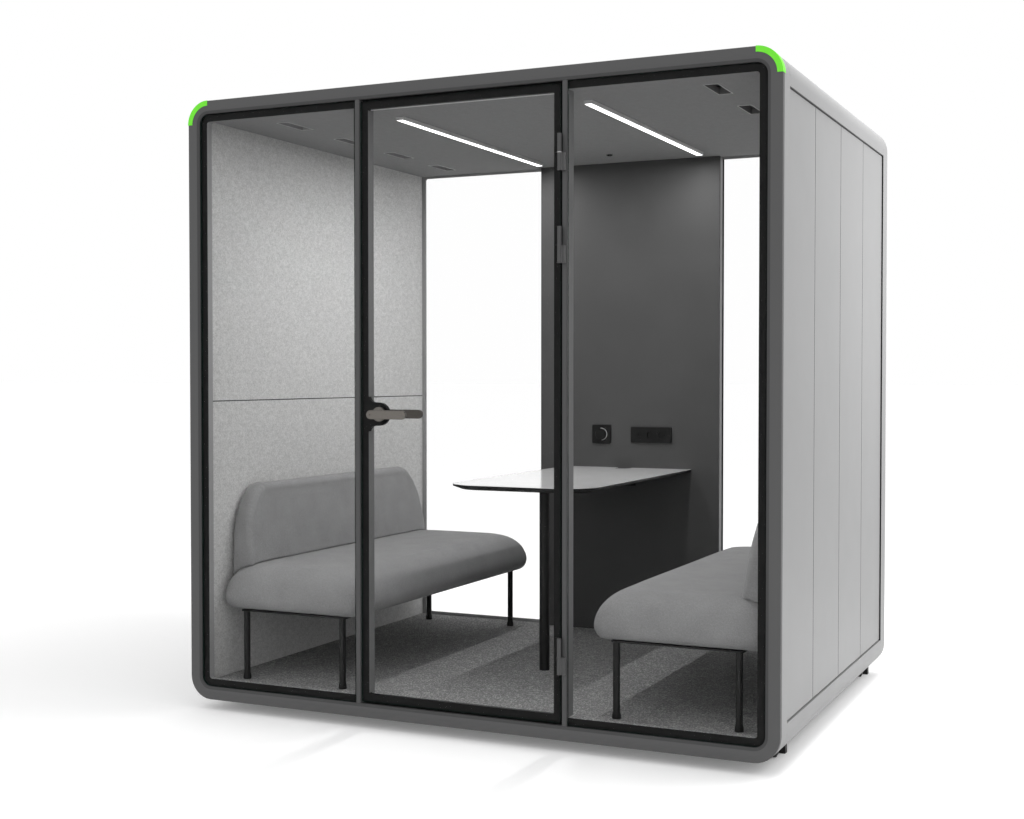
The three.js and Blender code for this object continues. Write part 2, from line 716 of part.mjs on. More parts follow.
const frameIn = DOOR_HALF - DOOR_FRAME_W;
const opening = rounded(
  -frameIn, leafBottom + DOOR_FRAME_W, frameIn, leafTop - DOOR_FRAME_W, LEAF_R);
const frameSlab = prism(rounded(
  -DOOR_HALF, leafBottom, DOOR_HALF, leafTop, LEAF_R), 'y', glassBack + CLEAR, leafBack, 0, 3);
const lockCase = new THREE.Shape();
lockCase.moveTo(-frameIn - 1, HANDLE_Z - BOSS_R - BOSS_FILLET);
lockCase.lineTo(-frameIn, HANDLE_Z - BOSS_R - BOSS_FILLET);
lockCase.absarc(
  -frameIn + BOSS_FILLET, HANDLE_Z - BOSS_R - BOSS_FILLET, BOSS_FILLET, Math.PI, Math.PI / 2, true);
lockCase.lineTo(Math.max(-BOSS_X, -frameIn + BOSS_FILLET), HANDLE_Z - BOSS_R);
lockCase.absarc(
  Math.max(-BOSS_X, -frameIn + BOSS_FILLET), HANDLE_Z, BOSS_R, -Math.PI / 2, Math.PI / 2, false);
lockCase.lineTo(-frameIn + BOSS_FILLET, HANDLE_Z + BOSS_R);
lockCase.absarc(
  -frameIn + BOSS_FILLET, HANDLE_Z + BOSS_R + BOSS_FILLET, BOSS_FILLET, -Math.PI / 2, -Math.PI, true);
lockCase.lineTo(-frameIn - 1, HANDLE_Z + BOSS_R + BOSS_FILLET);
const boltWay = box(
  -DOOR_HALF - 1, boltY - BOLT_T / 2 - CLEAR, HANDLE_Z - BOLT_H / 2 - CLEAR,
  -DOOR_HALF + BOLT_L + CLEAR, boltY + BOLT_T / 2 + CLEAR, HANDLE_Z + BOLT_H / 2 + CLEAR);
const frameRing = cut(frameSlab, prism(opening, 'y', 0, leafBack + 10, 0, 3));
place('door_frame', cut(
  join(frameRing, prism(lockCase, 'y', glassBack + CLEAR, leafBack, 0, 6)), spindleHole, boltWay), 'black');

// Hinge leaves on the door: a plate on the pane with a bored upper knuckle.
hingeHeights.forEach((z, i) => {
  const low = z + CLEAR / 2;
  const high = z + HINGE_LEN / 2;
  const barrel = turned([
    [0, low], [HINGE_R, low], [HINGE_R, high], [0, high],
  ], 'z', [hingeX, hingeY, 0], 16);
  const plate = box(
    hingeX - FLAG_W, glassFront - CLEAR - FLAG_T, low, hingeX, glassFront - CLEAR, high);
  const web = box(hingeX - HINGE_R, hingeY, low, hingeX, glassFront - CLEAR, high);
  const bore = rod('z', hingeX, hingeY, HINGE_PIN_R + CLEAR, low - 1, high - HINGE_CAP);
  place(`hinge_leaf_${i + 1}`, cut(join(barrel, plate, web), bore), 'graphite');
});

// Roses: the outer one has a sleeve through the pane and the lock case.
const bore = SPINDLE_R + CLEAR;
const roseFront = glassFront - CLEAR - ROSE_T;
const roseBack = leafBack + CLEAR + ROSE_T;
place('rose_outer', turned([
  [bore, roseFront], [ROSE_R - 1.5, roseFront], [ROSE_R, roseFront + 1.5], [ROSE_R, glassFront - CLEAR],
  [SLEEVE_R, glassFront - CLEAR], [SLEEVE_R, leafBack], [bore, leafBack], [bore, roseFront],
], 'y', [-HANDLE_X, 0, HANDLE_Z]), 'bronze');
place('rose_inner', turned([
  [bore, leafBack + CLEAR], [ROSE_R, leafBack + CLEAR], [ROSE_R, roseBack - 1.5], [ROSE_R - 1.5, roseBack],
  [bore, roseBack], [bore, leafBack + CLEAR],
], 'y', [-HANDLE_X, 0, HANDLE_Z]), 'bronze');

// Levers: the outer one carries the spindle, the inner one is bored for it.
function leverBar(centre) {
  const r = LEVER_H / 2;
  const shape = new THREE.Shape();
  shape.absarc(-HANDLE_X, HANDLE_Z, r, Math.PI / 2, Math.PI * 1.5, false);
  shape.absarc(-HANDLE_X + LEVER_LEN, HANDLE_Z, r, -Math.PI / 2, Math.PI / 2, false);
  return prism(shape, 'y', centre - LEVER_T / 2, centre + LEVER_T / 2, LEVER_EDGE, 7, 1);
}

const innerCentre = leafBack + LEVER_IN_OFF + LEVER_T / 2;
const hubDot = rod('y', -HANDLE_X, HANDLE_Z, HUB_DOT_R,
  leverCentre - LEVER_T / 2 - 1, leverCentre - LEVER_T / 2 + HUB_DOT_D, 5);
place('lever_outer', cut(join(
  leverBar(leverCentre),
  rod('y', -HANDLE_X, HANDLE_Z, NECK_R, leverCentre, roseFront - CLEAR),
  rod('y', -HANDLE_X, HANDLE_Z, SPINDLE_R, leverCentre, innerCentre - CLEAR)), hubDot), 'bronze');
place('lever_inner', cut(join(
  leverBar(innerCentre),
  rod('y', -HANDLE_X, HANDLE_Z, NECK_R, roseBack + CLEAR, innerCentre)),
rod('y', -HANDLE_X, HANDLE_Z, bore, roseBack - 1, innerCentre)), 'bronze');

// Latch bolt with a slanted tip.
const tip = -DOOR_HALF - boltThrow;
place('latch_bolt', prism(polygon([
  [tip, boltY - BOLT_T / 2], [tip + BOLT_L, boltY - BOLT_T / 2], [tip + BOLT_L, boltY + BOLT_T / 2],
  [tip + BOLT_T, boltY + BOLT_T / 2], [tip, boltY - BOLT_T / 2 + 2],
]), 'z', HANDLE_Z - BOLT_H / 2, HANDLE_Z + BOLT_H / 2), 'bronze');

// Table: a core with an undercut edge, a white face and a cable notch, on a beam with one column.
const tableTop = floorTop + TABLE_H;
const tableY0 = revealIn - CLEAR - TABLE_L;
const tableY1 = revealIn - CLEAR;
function tableLoop(inset, z, steps = 8) {
  const r = Math.max(TABLE_R - inset, 4);
  const half = TABLE_W / 2 - inset;
  const front = tableY0 + inset;
  const loop = [[half, tableY1, z], [-half, tableY1, z]];
  for (let i = 0; i <= steps; i++) {
    const a = Math.PI + i * Math.PI / 2 / steps;
    loop.push([-half + r + r * Math.cos(a), front + r + r * Math.sin(a), z]);
  }
  for (let i = 0; i <= steps; i++) {
    const a = Math.PI * 1.5 + i * Math.PI / 2 / steps;
    loop.push([half - r + r * Math.cos(a), front + r + r * Math.sin(a), z]);
  }
  return loop;
}
const coreTop = tableTop - FACE_T - CLEAR;
const coreLow = tableTop - TABLE_T;
const cableNotch = prism(rounded(
  CABLE_X - CABLE_W / 2, tableY1 - CABLE_D, CABLE_X + CABLE_W / 2, tableY1 + 1,
  [CABLE_W / 2 - 0.1, CABLE_W / 2 - 0.1, 0, 0]), 'z', coreLow - 1, tableTop + 1, 0, 4);
place('table_face', cut(loft([tableLoop(0, tableTop - FACE_T), tableLoop(0, tableTop)]), cableNotch), 'laminate');
place('table_top', cut(loft([
  tableLoop(TABLE_UNDERCUT, coreLow), tableLoop(0, tableTop - TABLE_EDGE), tableLoop(0, coreTop),
]), cableNotch), 'black');
const beamTop = coreLow - CLEAR;
const beamY0 = tableY0 + BEAM_SET;
place('table_frame', join(
  prism(rounded(-BEAM_W / 2, beamY0, BEAM_W / 2, tableY1, [12, 12, 0, 0]), 'z', beamTop - BEAM_T, beamTop, 0, 4),
  rod('z', 0, tableY0 + COLUMN_SET, COLUMN_D / 2, floorTop + CLEAR, beamTop - BEAM_T / 2, 12),
  box(-BEAM_W / 2, tableY1 - FLANGE_T, beamTop - FLANGE_H, BEAM_W / 2, tableY1, beamTop - BEAM_T / 2),
), 'blackSteel');

// Sofas: the seat is stacked from rounded rectangles, drawn in below and above its widest level.
const seatRear = feltX - SEAT_WALL_GAP;
const seatAisle = seatRear - SEAT_DEPTH;
const seatLow = floorTop + CLEAR + LEG_H + BOARD_T + CLEAR;
function cornered(x0, y0, x1, y1, z, innerR, outerR, steps) {
  const corners = [
    [x1 - outerR, y1 - outerR, outerR], [x0 + innerR, y1 - innerR, innerR],
    [x0 + innerR, y0 + innerR, innerR], [x1 - outerR, y0 + outerR, outerR],
  ];
  const loop = [];
  corners.forEach(([x, y, r], k) => {
    for (let i = 0; i <= steps; i++) {
      const a = Math.PI / 2 * (k + i / steps);
      loop.push([x + r * Math.cos(a), y + r * Math.sin(a), z]);
    }
  });
  return loop;
}
function seatSolid(grown) {
  const level = (h, aisle, rear, end, rounder) => cornered(
    seatAisle + aisle - grown, SEAT_Y + end - grown, seatRear - rear + grown, seatEnd - end + grown,
    seatLow - grown + h * (SEAT_T + 2 * grown) / SEAT_T,
    SEAT_AISLE_R + rounder * (SEAT_TOP_R - SEAT_AISLE_R), SEAT_REAR_R + rounder * (SEAT_TOP_R - SEAT_REAR_R), 4);
  const levels = [];
  for (let i = 0; i < SEAT_LOW_STEPS; i++) {
    const a = i * Math.PI / 2 / SEAT_LOW_STEPS;
    const drawn = SEAT_LOW_IN * (1 - Math.sin(a));
    levels.push(level(SEAT_WIDE * (1 - Math.cos(a)), drawn, drawn, drawn, 0));
  }
  for (let i = 0; i <= SEAT_STEPS; i++) {
    const a = i * Math.PI / 2 / SEAT_STEPS;
    const drawn = 1 - Math.cos(a);
    levels.push(level(
      SEAT_WIDE + (SEAT_T - SEAT_WIDE) * Math.sin(a),
      SEAT_AISLE_IN * drawn, SEAT_REAR_IN * drawn, SEAT_END_IN * drawn, drawn));
  }
  return loft(levels);
}
const seat = seatSolid(0);

// Back cushion: upright behind, sloped in front, rounded towards its ends, and fitted down over the seat.
const backFoot = seatLow + SEAT_T + CLEAR;
function backLoop(h) {
  const past = Math.max(h - BACK_H + BACK_CURVE_H, 0) / BACK_CURVE_H;
  const over = Math.max(h - BACK_H + BACK_SOFT, 0);
  const roll = BACK_SOFT - Math.sqrt(BACK_SOFT * BACK_SOFT - over * over);
  const side = BACK_INSET + BACK_TAPER * h / BACK_H + BACK_CURVE_W * (1 - Math.sqrt(1 - past * past));
  const front = seatRear - BACK_T + (BACK_T - BACK_TOP_T) * h / BACK_H + roll;
  const rear = seatRear - roll;
  const r = Math.min(BACK_SOFT, (rear - front) / 2 - 0.5);
  return cornered(front, SEAT_Y + side, rear, seatEnd - side, backFoot + h, r, r, BACK_STEPS);
}
const backHeights = [-BACK_DROP, BACK_H - BACK_CURVE_H];
for (let i = 1; i < 7; i++) {
  const h = BACK_H - BACK_CURVE_H + BACK_CURVE_H * Math.sin(i * Math.PI / 2 / 8);
  if (h < BACK_H - BACK_SOFT) backHeights.push(h);
}
for (let i = 0; i <= BACK_STEPS; i++) {
  backHeights.push(BACK_H - BACK_SOFT + 0.98 * BACK_SOFT * Math.sin(i * Math.PI / 2 / BACK_STEPS));
}
const backCushion = cut(loft(backHeights.map(backLoop)), seatSolid(CLEAR));

// Sofa base: a board with four turned legs and two stays that hold the back.
const boardLow = floorTop + CLEAR + LEG_H;
const legSpots = [];
for (const x of [seatAisle + LEG_AISLE, seatRear - LEG_REAR]) {
  for (const y of [SEAT_Y + LEG_END, seatEnd - LEG_END]) legSpots.push([x, y]);
}
const leg = ([x, y]) => turned([
  [0, 0], [LEG_FOOT_R, 0], [LEG_FOOT_R, LEG_FOOT_H], [LEG_R, LEG_FOOT_H * 2], [LEG_R, LEG_H + 1], [0, LEG_H + 1],
], 'z', [x, y, floorTop + CLEAR], 12);
const stayX = seatRear + CLEAR;
const stay = (y) => prism(polygon([
  [seatRear - BOARD_INSET - 30, boardLow], [stayX + STAY_T, boardLow], [stayX + STAY_T, backFoot + STAY_UP],
  [stayX, backFoot + STAY_UP], [stayX, boardLow + BOARD_T], [seatRear - BOARD_INSET - 30, boardLow + BOARD_T],
]), 'y', y - STAY_W / 2, y + STAY_W / 2);
const board = prism(rounded(
  seatAisle + BOARD_INSET, SEAT_Y + LEG_END - LEG_R, seatRear - BOARD_INSET, seatEnd - LEG_END + LEG_R,
  20), 'z', boardLow, boardLow + BOARD_T, 0, 4);
const sofaBase = join(
  board, ...legSpots.map(leg), stay(SEAT_Y + STAY_INSET), stay(seatEnd - STAY_INSET));
place('sofa_right_seat', seat, 'sofa');
place('sofa_left_seat', mirrored(seat), 'sofa');
place('sofa_right_back', backCushion, 'sofa');
place('sofa_left_back', mirrored(backCushion), 'sofa');
place('sofa_right_base', sofaBase, 'blackSteel');
place('sofa_left_base', mirrored(sofaBase), 'blackSteel');

// Control plate with a turning knob, and a plate with two sockets and a charging outlet.
const plateBack = revealIn - CLEAR;
const ctrlFront = plateBack - CTRL_T;
place('control_plate', cut(prism(rounded(
  CTRL_X - CTRL_W / 2, PLATE_Z - CTRL_H / 2, CTRL_X + CTRL_W / 2, PLATE_Z + CTRL_H / 2, PLATE_R),
'y', ctrlFront, plateBack, 1, 2, 1), rod(
  'y', CTRL_X, PLATE_Z, KNOB_STEM_R + CLEAR, ctrlFront - 1, ctrlFront + KNOB_STEM_L + CLEAR)), 'black');
place('control_knob', turned([
  [0, ctrlFront - CLEAR - KNOB_T], [KNOB_R - KNOB_EDGE, ctrlFront - CLEAR - KNOB_T],
  [KNOB_R, ctrlFront - CLEAR - KNOB_T + KNOB_EDGE], [KNOB_R, ctrlFront - CLEAR], [KNOB_STEM_R, ctrlFront - CLEAR],
  [KNOB_STEM_R, ctrlFront + KNOB_STEM_L], [0, ctrlFront + KNOB_STEM_L],
], 'y', [CTRL_X, 0, PLATE_Z], 28), 'black');
const socketCuts = [];
for (const i of [0, 1]) {
  const x = SOCKET_X + i * SOCKET_PITCH;
  socketCuts.push(rod('y', x, PLATE_Z, SOCKET_R, ctrlFront - 1, ctrlFront + SOCKET_DEEP, 10));
  for (const s of [-1, 1]) {
    socketCuts.push(rod(
      'y', x + s * PIN_PITCH / 2, PLATE_Z, PIN_R, ctrlFront - 1, plateBack - 1.5, 4));
  }
}
const usbX = SOCKET_X - SOCKET_PITCH;
socketCuts.push(box(
  usbX - USB_W / 2, ctrlFront - 1, PLATE_Z - USB_H / 2, usbX + USB_W / 2, ctrlFront + SOCKET_DEEP,
  PLATE_Z + USB_H / 2));
place('socket_plate', cut(prism(rounded(
  SOCKET_X - SOCKET_W / 2, PLATE_Z - SOCKET_H / 2, SOCKET_X + SOCKET_W / 2, PLATE_Z + SOCKET_H / 2, PLATE_R),
'y', ctrlFront, plateBack, 1, 2, 1), ...socketCuts), 'black');

// Feet: a slotted plate with two cheeks and an axle for the wheel, and a glide block that the pod stands on.
const footX = hw - FOOT_SIDE;
const wheelZ = -FOOT_H + WHEEL_R + WHEEL_LIFT;
const cheekIn = WHEEL_W / 2 + WHEEL_SIDE;
function foot(y) {
  const slot = box(
    footX - cheekIn, y - WHEEL_R - 2 * WHEEL_SIDE, -FOOT_H, footX + cheekIn, y + WHEEL_R + 2 * WHEEL_SIDE, 1);
  const plate = cut(box(
    footX - FOOT_W / 2, y - FOOT_LEAD, -CLEAR - FOOT_PLATE_T, footX + FOOT_W / 2, y + FOOT_LEN, -CLEAR), slot);
  const glide = box(
    footX - FOOT_W / 2, y + FOOT_LEN - GLIDE_L, -FOOT_H, footX + FOOT_W / 2, y + FOOT_LEN, -CLEAR);
  const cheek = polygon([
    [y - FOOT_LEAD, -CLEAR - 1], [y - AXLE_R * 2, wheelZ - AXLE_R * 2], [y + AXLE_R * 2, wheelZ - AXLE_R * 2],
    [y + FOOT_LEAD, -CLEAR - 1],
  ]);
  return join(
    plate, glide,
    prism(cheek, 'x', footX - cheekIn - CHEEK_T, footX - cheekIn),
    prism(cheek, 'x', footX + cheekIn, footX + cheekIn + CHEEK_T),
    rod('x', y, wheelZ, AXLE_R, footX - cheekIn - CHEEK_T / 2, footX + cheekIn + CHEEK_T / 2, 6));
}
function wheel(y) {
  const half = WHEEL_W / 2;
  const hole = AXLE_R + CLEAR;
  return turned([
    [hole, -half], [WHEEL_R - WHEEL_EDGE, -half], [WHEEL_R, -half + WHEEL_EDGE], [WHEEL_R, half - WHEEL_EDGE],
    [WHEEL_R - WHEEL_EDGE, half], [hole, half], [hole, -half],
  ], 'x', [footX, y, wheelZ], 18);
}
for (const [name, y] of [['front', FOOT_FRONT], ['rear', POD_D - FOOT_REAR]]) {
  place(`foot_${name}_right`, foot(y), 'blackSteel');
  place(`foot_${name}_left`, mirrored(foot(y)), 'blackSteel');
  place(`wheel_${name}_right`, wheel(y), 'tyre');
  place(`wheel_${name}_left`, mirrored(wheel(y)), 'tyre');
}

export default pod;
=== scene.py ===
import json
import math

import bmesh
import bpy
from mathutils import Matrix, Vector
from mathutils.bvhtree import BVHTree


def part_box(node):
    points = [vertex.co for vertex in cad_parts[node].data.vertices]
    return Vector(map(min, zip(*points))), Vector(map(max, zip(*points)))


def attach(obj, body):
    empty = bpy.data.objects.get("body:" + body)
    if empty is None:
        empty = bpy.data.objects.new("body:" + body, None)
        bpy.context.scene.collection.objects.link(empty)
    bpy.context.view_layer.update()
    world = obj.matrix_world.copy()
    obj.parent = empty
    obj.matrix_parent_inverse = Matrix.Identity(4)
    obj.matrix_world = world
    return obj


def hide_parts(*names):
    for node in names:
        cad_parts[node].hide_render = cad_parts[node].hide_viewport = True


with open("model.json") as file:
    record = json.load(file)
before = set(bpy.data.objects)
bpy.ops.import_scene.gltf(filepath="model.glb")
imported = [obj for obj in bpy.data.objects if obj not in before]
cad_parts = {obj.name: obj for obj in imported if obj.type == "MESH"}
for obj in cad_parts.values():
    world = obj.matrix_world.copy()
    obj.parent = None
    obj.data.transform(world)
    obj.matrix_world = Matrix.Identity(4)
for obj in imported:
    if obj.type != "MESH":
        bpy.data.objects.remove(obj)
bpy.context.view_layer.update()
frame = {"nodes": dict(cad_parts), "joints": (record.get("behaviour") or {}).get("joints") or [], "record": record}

# Acoustic meeting pod: finishes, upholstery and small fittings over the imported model. Metres, +Z up, front to -Y.
scene = bpy.context.scene
nodes = frame["nodes"]
carrier = {n: b for b, members in frame["record"]["behaviour"]["bodies"].items() for n in members}


# ---------------------------------------------------------------- camera
camera_data = bpy.data.cameras.new("camera")
camera_data.lens = 50.09
camera_data.sensor_width = 36.0
camera_data.sensor_fit = "HORIZONTAL"
camera_data.clip_start = 0.05
camera_data.clip_end = 500.0
camera = bpy.data.objects.new("camera", camera_data)
camera.location = (2.2294, -5.1641, 1.2520)
camera.rotation_euler = (math.radians(90 - 1.368), 0.0, math.radians(25.027))
scene.collection.objects.link(camera)
scene.camera = camera


# ---------------------------------------------------------------- material tools
class Finish:
    """A Principled material. Its detail comes from textures in the object's own coordinates, in metres."""

    def __init__(self, name, colour, rough, spec=0.5, metal=0.0):
        self.material = bpy.data.materials.new(name)
        self.material.use_nodes = True
        self.tree = self.material.node_tree
        self.shader = self.tree.nodes["Principled BSDF"]
        where = self.tree.nodes.new("ShaderNodeTexCoord")
        self.place, self.facing = where.outputs["Object"], where.outputs["Normal"]
        self.relief = None
        self.set("Base Color", (*colour, 1.0))
        self.set("Roughness", rough)
        self.set("Specular IOR Level", spec)
        self.set("Metallic", metal)

    def put(self, socket, value):
        if isinstance(value, bpy.types.NodeSocket):
            self.tree.links.new(value, socket)
        else:
            socket.default_value = value

    def set(self, name, value):
        self.put(self.shader.inputs[name], value)

    def node(self, kind, inputs, out=0, **settings):
        made = self.tree.nodes.new("ShaderNode" + kind)
        for key, value in settings.items():
            setattr(made, key, value)
        for key, value in inputs.items():
            self.put(made.inputs[key], value)
        return made.outputs[out]

    def math(self, operation, a, b=0.0, c=0.0):
        return self.node("Math", {0: a, 1: b, 2: c}, operation=operation)

    def stretched(self, scale):
        return self.node("Mapping", {"Vector": self.place, "Scale": scale})

    def noise(self, size, detail=2.0, where=None, rough=0.5):
        """0 to 1, with features of about this size."""
        return self.node("TexNoise", {
            "Vector": where or self.place, "Scale": 1 / size, "Detail": detail, "Roughness": rough})

    def span(self, value, low, high, start=0.0, end=1.0):
        return self.node("MapRange", {0: value, 1: low, 2: high, 3: start, 4: end})

    def mix(self, factor, a, b):
        a, b = ((*c, 1.0) if isinstance(c, tuple) else c for c in (a, b))
        return self.node("Mix", {0: factor, 6: a, 7: b}, out=2, data_type="RGBA")

    def bump(self, height, depth, strength=1.0):
        inputs = {"Height": height, "Distance": depth, "Strength": strength}
        if self.relief:
            inputs["Normal"] = self.relief
        self.relief = self.node("Bump", inputs)
        self.set("Normal", self.relief)


def shade(colour, factor):
    return tuple(min(1.0, c * factor) for c in colour)


def powder_coat(name, colour, rough, spec, grain=0.0011, depth=0.00005):
    """Baked powder paint: orange peel, a little cloudiness and uneven gloss."""
    f = Finish(name, colour, rough, spec)
    peel = f.noise(grain, 2.0)
    cloud = f.noise(0.35, 3.0)
    speck = f.noise(0.0006, 1.0)
    tone = f.math("ADD", f.span(cloud, 0.3, 0.7, 0.0, 0.3), f.span(speck, 0.2, 0.8, 0.0, 0.7))
    f.set("Base Color", f.mix(tone, shade(colour, 0.95), shade(colour, 1.05)))
    f.set("Roughness", f.span(f.noise(0.12, 4.0), 0.3, 0.7, rough - 0.015, rough + 0.015))
    f.bump(peel, depth, 0.7)
    return f.material


def moulded(name, colour, rough, spec=0.4):
    """Fine-grained moulded plastic."""
    f = Finish(name, colour, rough, spec)
    grain = f.noise(0.0005, 1.0)
    f.set("Base Color", f.mix(f.noise(0.02, 3.0), shade(colour, 0.9), shade(colour, 1.1)))
    f.set("Roughness", f.span(grain, 0.2, 0.8, rough - 0.06, rough + 0.06))
    f.bump(grain, 0.00003, 0.6)
    return f.material


def brushed(name, colour, rough, along):
    """Brushed metal, with fine scratches along one direction."""
    f = Finish(name, colour, rough, 0.5, 1.0)
    lines = f.noise(0.0006, 3.0, f.stretched(along))
    wear = f.noise(0.02, 3.0)
    f.set("Base Color", f.mix(f.span(lines, 0.3, 0.7), shade(colour, 0.86), shade(colour, 1.12)))
    f.set("Roughness", f.math("ADD", f.span(lines, 0.3, 0.7, rough - 0.06, rough + 0.06),
                              f.span(wear, 0.35, 0.7, 0.0, 0.08)))
    f.bump(lines, 0.00003, 0.5)
    return f.material


def pressed_felt(name, colour, blotch, fleck, speckle):
    """Pressed fibre board: soft blotches, short fibres and scattered light and dark flecks."""
    f = Finish(name, colour, 0.95, 0.12)
    clouds = f.noise(0.017, 6.0, f.stretched((1.0, 0.55, 1.0)), rough=0.68)
    fibres = f.noise(0.0026, 4.0, f.stretched((1.0, 0.5, 1.0)), rough=0.7)
    seeds = f.node("TexVoronoi", {"Vector": f.place, "Scale": 1 / 0.011, "Randomness": 1.0})
    chance = f.node("TexWhiteNoise", {"Vector": f.node("TexVoronoi", {
        "Vector": f.place, "Scale": 1 / 0.011, "Randomness": 1.0}, out="Position")})
    dot = f.span(seeds, 0.06, 0.2, 1.0, 0.0)
    dark = f.math("MULTIPLY", dot, f.math("GREATER_THAN", chance, 0.72))
    base = f.mix(f.span(clouds, 0.32, 0.68), shade(colour, 1 - blotch), shade(colour, 1 + blotch))
    base = f.mix(f.span(fibres, 0.3, 0.72, 0.0, 0.4), base, shade(colour, 1.16))
    grain = f.noise(0.0048, 2.0)
    base = f.mix(f.span(grain, 0.3, 0.5, speckle, 0.0), base, shade(colour, 0.6))
    base = f.mix(f.span(grain, 0.5, 0.7, 0.0, speckle), base, shade(colour, 1.4))
    f.set("Base Color", f.mix(f.math("MULTIPLY", dark, fleck), base, shade(colour, 0.45)))
    f.set("Sheen Weight", 0.12)
    f.set("Sheen Roughness", 0.6)
    f.bump(clouds, 0.0009, 0.35)
    f.bump(fibres, 0.0006, 0.6)
    return f.material


def loop_pile(name, low, high):
    """Loop pile carpet: tufts of a few millimetres, each of its own tone, with painted shade darkening each tuft
    towards its edge.
    """
    f = Finish(name, low, 0.95, 0.08)
    tuft = {"Vector": f.stretched((1.0, 0.8, 1.0)), "Scale": 1 / 0.0052, "Randomness": 0.9}
    dome = f.node("TexVoronoi", tuft)
    own = f.node("TexWhiteNoise", {"Vector": f.node("TexVoronoi", tuft, out="Position")})
    patch = f.noise(0.05, 4.0)
    tone = f.math("MULTIPLY", f.math("POWER", own, 2.4), f.span(patch, 0.3, 0.7, 0.55, 1.2))
    # Painted shade: each tuft is darker towards its edge.
    top = f.span(dome, 0.0, 0.62, 1.0, 0.45)
    colour = f.mix(tone, low, high)
    f.set("Base Color", f.node("Mix", {0: 1.0, 6: colour, 7: f.node("CombineColor", {0: top, 1: top, 2: top})},
                               out=2, data_type="RGBA", blend_type="MULTIPLY"))
    f.set("Sheen Weight", 0.08)
    f.set("Sheen Roughness", 0.6)
    f.bump(f.span(dome, 0.0, 0.6, 1.0, 0.0), 0.0035, 0.9)
    return f.material


def weave(f, pitch):
    """Height of a plain weave, 0 to 1, laid on from the three axes and blended by the way the surface faces."""
    parts = f.node("SeparateXYZ", {0: f.place})
    place = [parts.node.outputs[i] for i in range(3)]
    normal = f.node("SeparateXYZ", {0: f.facing})
    weight = [f.math("POWER", f.math("ABSOLUTE", normal.node.outputs[i]), 6.0) for i in range(3)]
    total, height = None, None
    for axis in range(3):
        u, v = [place[i] for i in range(3) if i != axis]
        wale = f.math("ABSOLUTE", f.math("SINE", f.math("MULTIPLY", u, math.pi / pitch)))
        weft = f.math("ABSOLUTE", f.math("SINE", f.math("MULTIPLY", v, math.pi / pitch)))
        over = f.node("TexChecker", {"Vector": f.node("CombineXYZ", {0: u, 1: v, 2: 0.5 * pitch}),
                                     "Scale": 1 / pitch}, out="Fac")
        cell = f.node("Mix", {0: over, 2: wale, 3: weft}, data_type="FLOAT")
        share = f.math("MULTIPLY", cell, weight[axis])
        height = f.math("ADD", height, share) if height else share
        total = f.math("ADD", total, weight[axis]) if total else weight[axis]
    return f.math("DIVIDE", height, total)


def upholstery(name, colour):
    """Wool cloth: a fine plain weave in slightly mixed yarns, with a soft nap and painted shade in the hollows of the
    weave.
    """
    f = Finish(name, colour, 0.92, 0.1)
    yarn = weave(f, 0.0017)
    mixed = f.noise(0.0042, 3.0, rough=0.7)
    cloud = f.noise(0.09, 3.0)
    tone = f.math("ADD", f.span(mixed, 0.28, 0.72, 0.0, 0.7), f.span(cloud, 0.3, 0.7, 0.0, 0.3))
    base = f.mix(tone, shade(colour, 0.78), shade(colour, 1.22))
    # Painted shade: the colour darkens where the weave lies low.
    f.set("Base Color", f.mix(f.span(yarn, 0.0, 0.5, 0.35, 0.0), base, shade(colour, 0.4)))
    f.set("Sheen Weight", 0.2)
    f.set("Sheen Roughness", 0.45)
    f.bump(f.noise(0.012, 2.0), 0.0008, 0.25)
    f.bump(yarn, 0.0005, 0.7)
    return f.material


def acoustic_cloth(name, colour):
    """Taut dark lining cloth with a fine weave, and painted shade in the hollows of the weave."""
    f = Finish(name, colour, 0.9, 0.12)
    yarn = weave(f, 0.0014)
    tone = f.math("ADD", f.span(f.noise(0.003, 3.0), 0.3, 0.7, 0.0, 0.5),
                  f.span(f.noise(0.2, 3.0), 0.3, 0.7, 0.0, 0.5))
    base = f.mix(tone, shade(colour, 0.9), shade(colour, 1.1))
    # Painted shade: the colour darkens where the weave lies low.
    f.set("Base Color", f.mix(f.span(yarn, 0.0, 0.5, 0.3, 0.0), base, shade(colour, 0.5)))
    f.set("Sheen Weight", 0.1)
    f.set("Sheen Roughness", 0.5)
    f.bump(yarn, 0.0002, 0.25)
    return f.material


def laminate(name, colour):
    """Matt laminate with a faint fingerprint of handling in its gloss."""
    f = Finish(name, colour, 0.13, 0.6)
    smear = f.noise(0.09, 5.0, rough=0.6)
    f.set("Base Color", f.mix(f.noise(0.3, 3.0), shade(colour, 0.985), shade(colour, 1.0)))
    f.set("Roughness", f.span(smear, 0.3, 0.7, 0.12, 0.14))
    f.bump(f.noise(0.0008, 1.0), 0.00001, 0.2)
    return f.material


def pane(name):
    """Clear toughened glass: nothing when looked through, a reflection at a grazing view, a dark ground edge."""
    f = Finish(name, (0.01, 0.012, 0.011), 0.02, 0.5)
    facing = f.tree.nodes.new("ShaderNodeLayerWeight")
    facing.inputs["Blend"].default_value = 0.5
    normal = f.node("SeparateXYZ", {0: f.facing})
    edge = f.math("LESS_THAN", f.math("ABSOLUTE", normal.node.outputs[1]), 0.5)
    glance = f.math("MULTIPLY_ADD", f.math("POWER", facing.outputs["Facing"], 5.0), 0.5, 0.002)
    f.set("Alpha", f.math("MAXIMUM", glance, f.math("MULTIPLY", edge, 0.8)))
    f.set("Base Color", f.mix(edge, (0.01, 0.012, 0.011), (0.012, 0.03, 0.024)))
    f.set("Roughness", f.span(f.noise(0.25, 4.0), 0.4, 0.75, 0.012, 0.035))
    return f.material


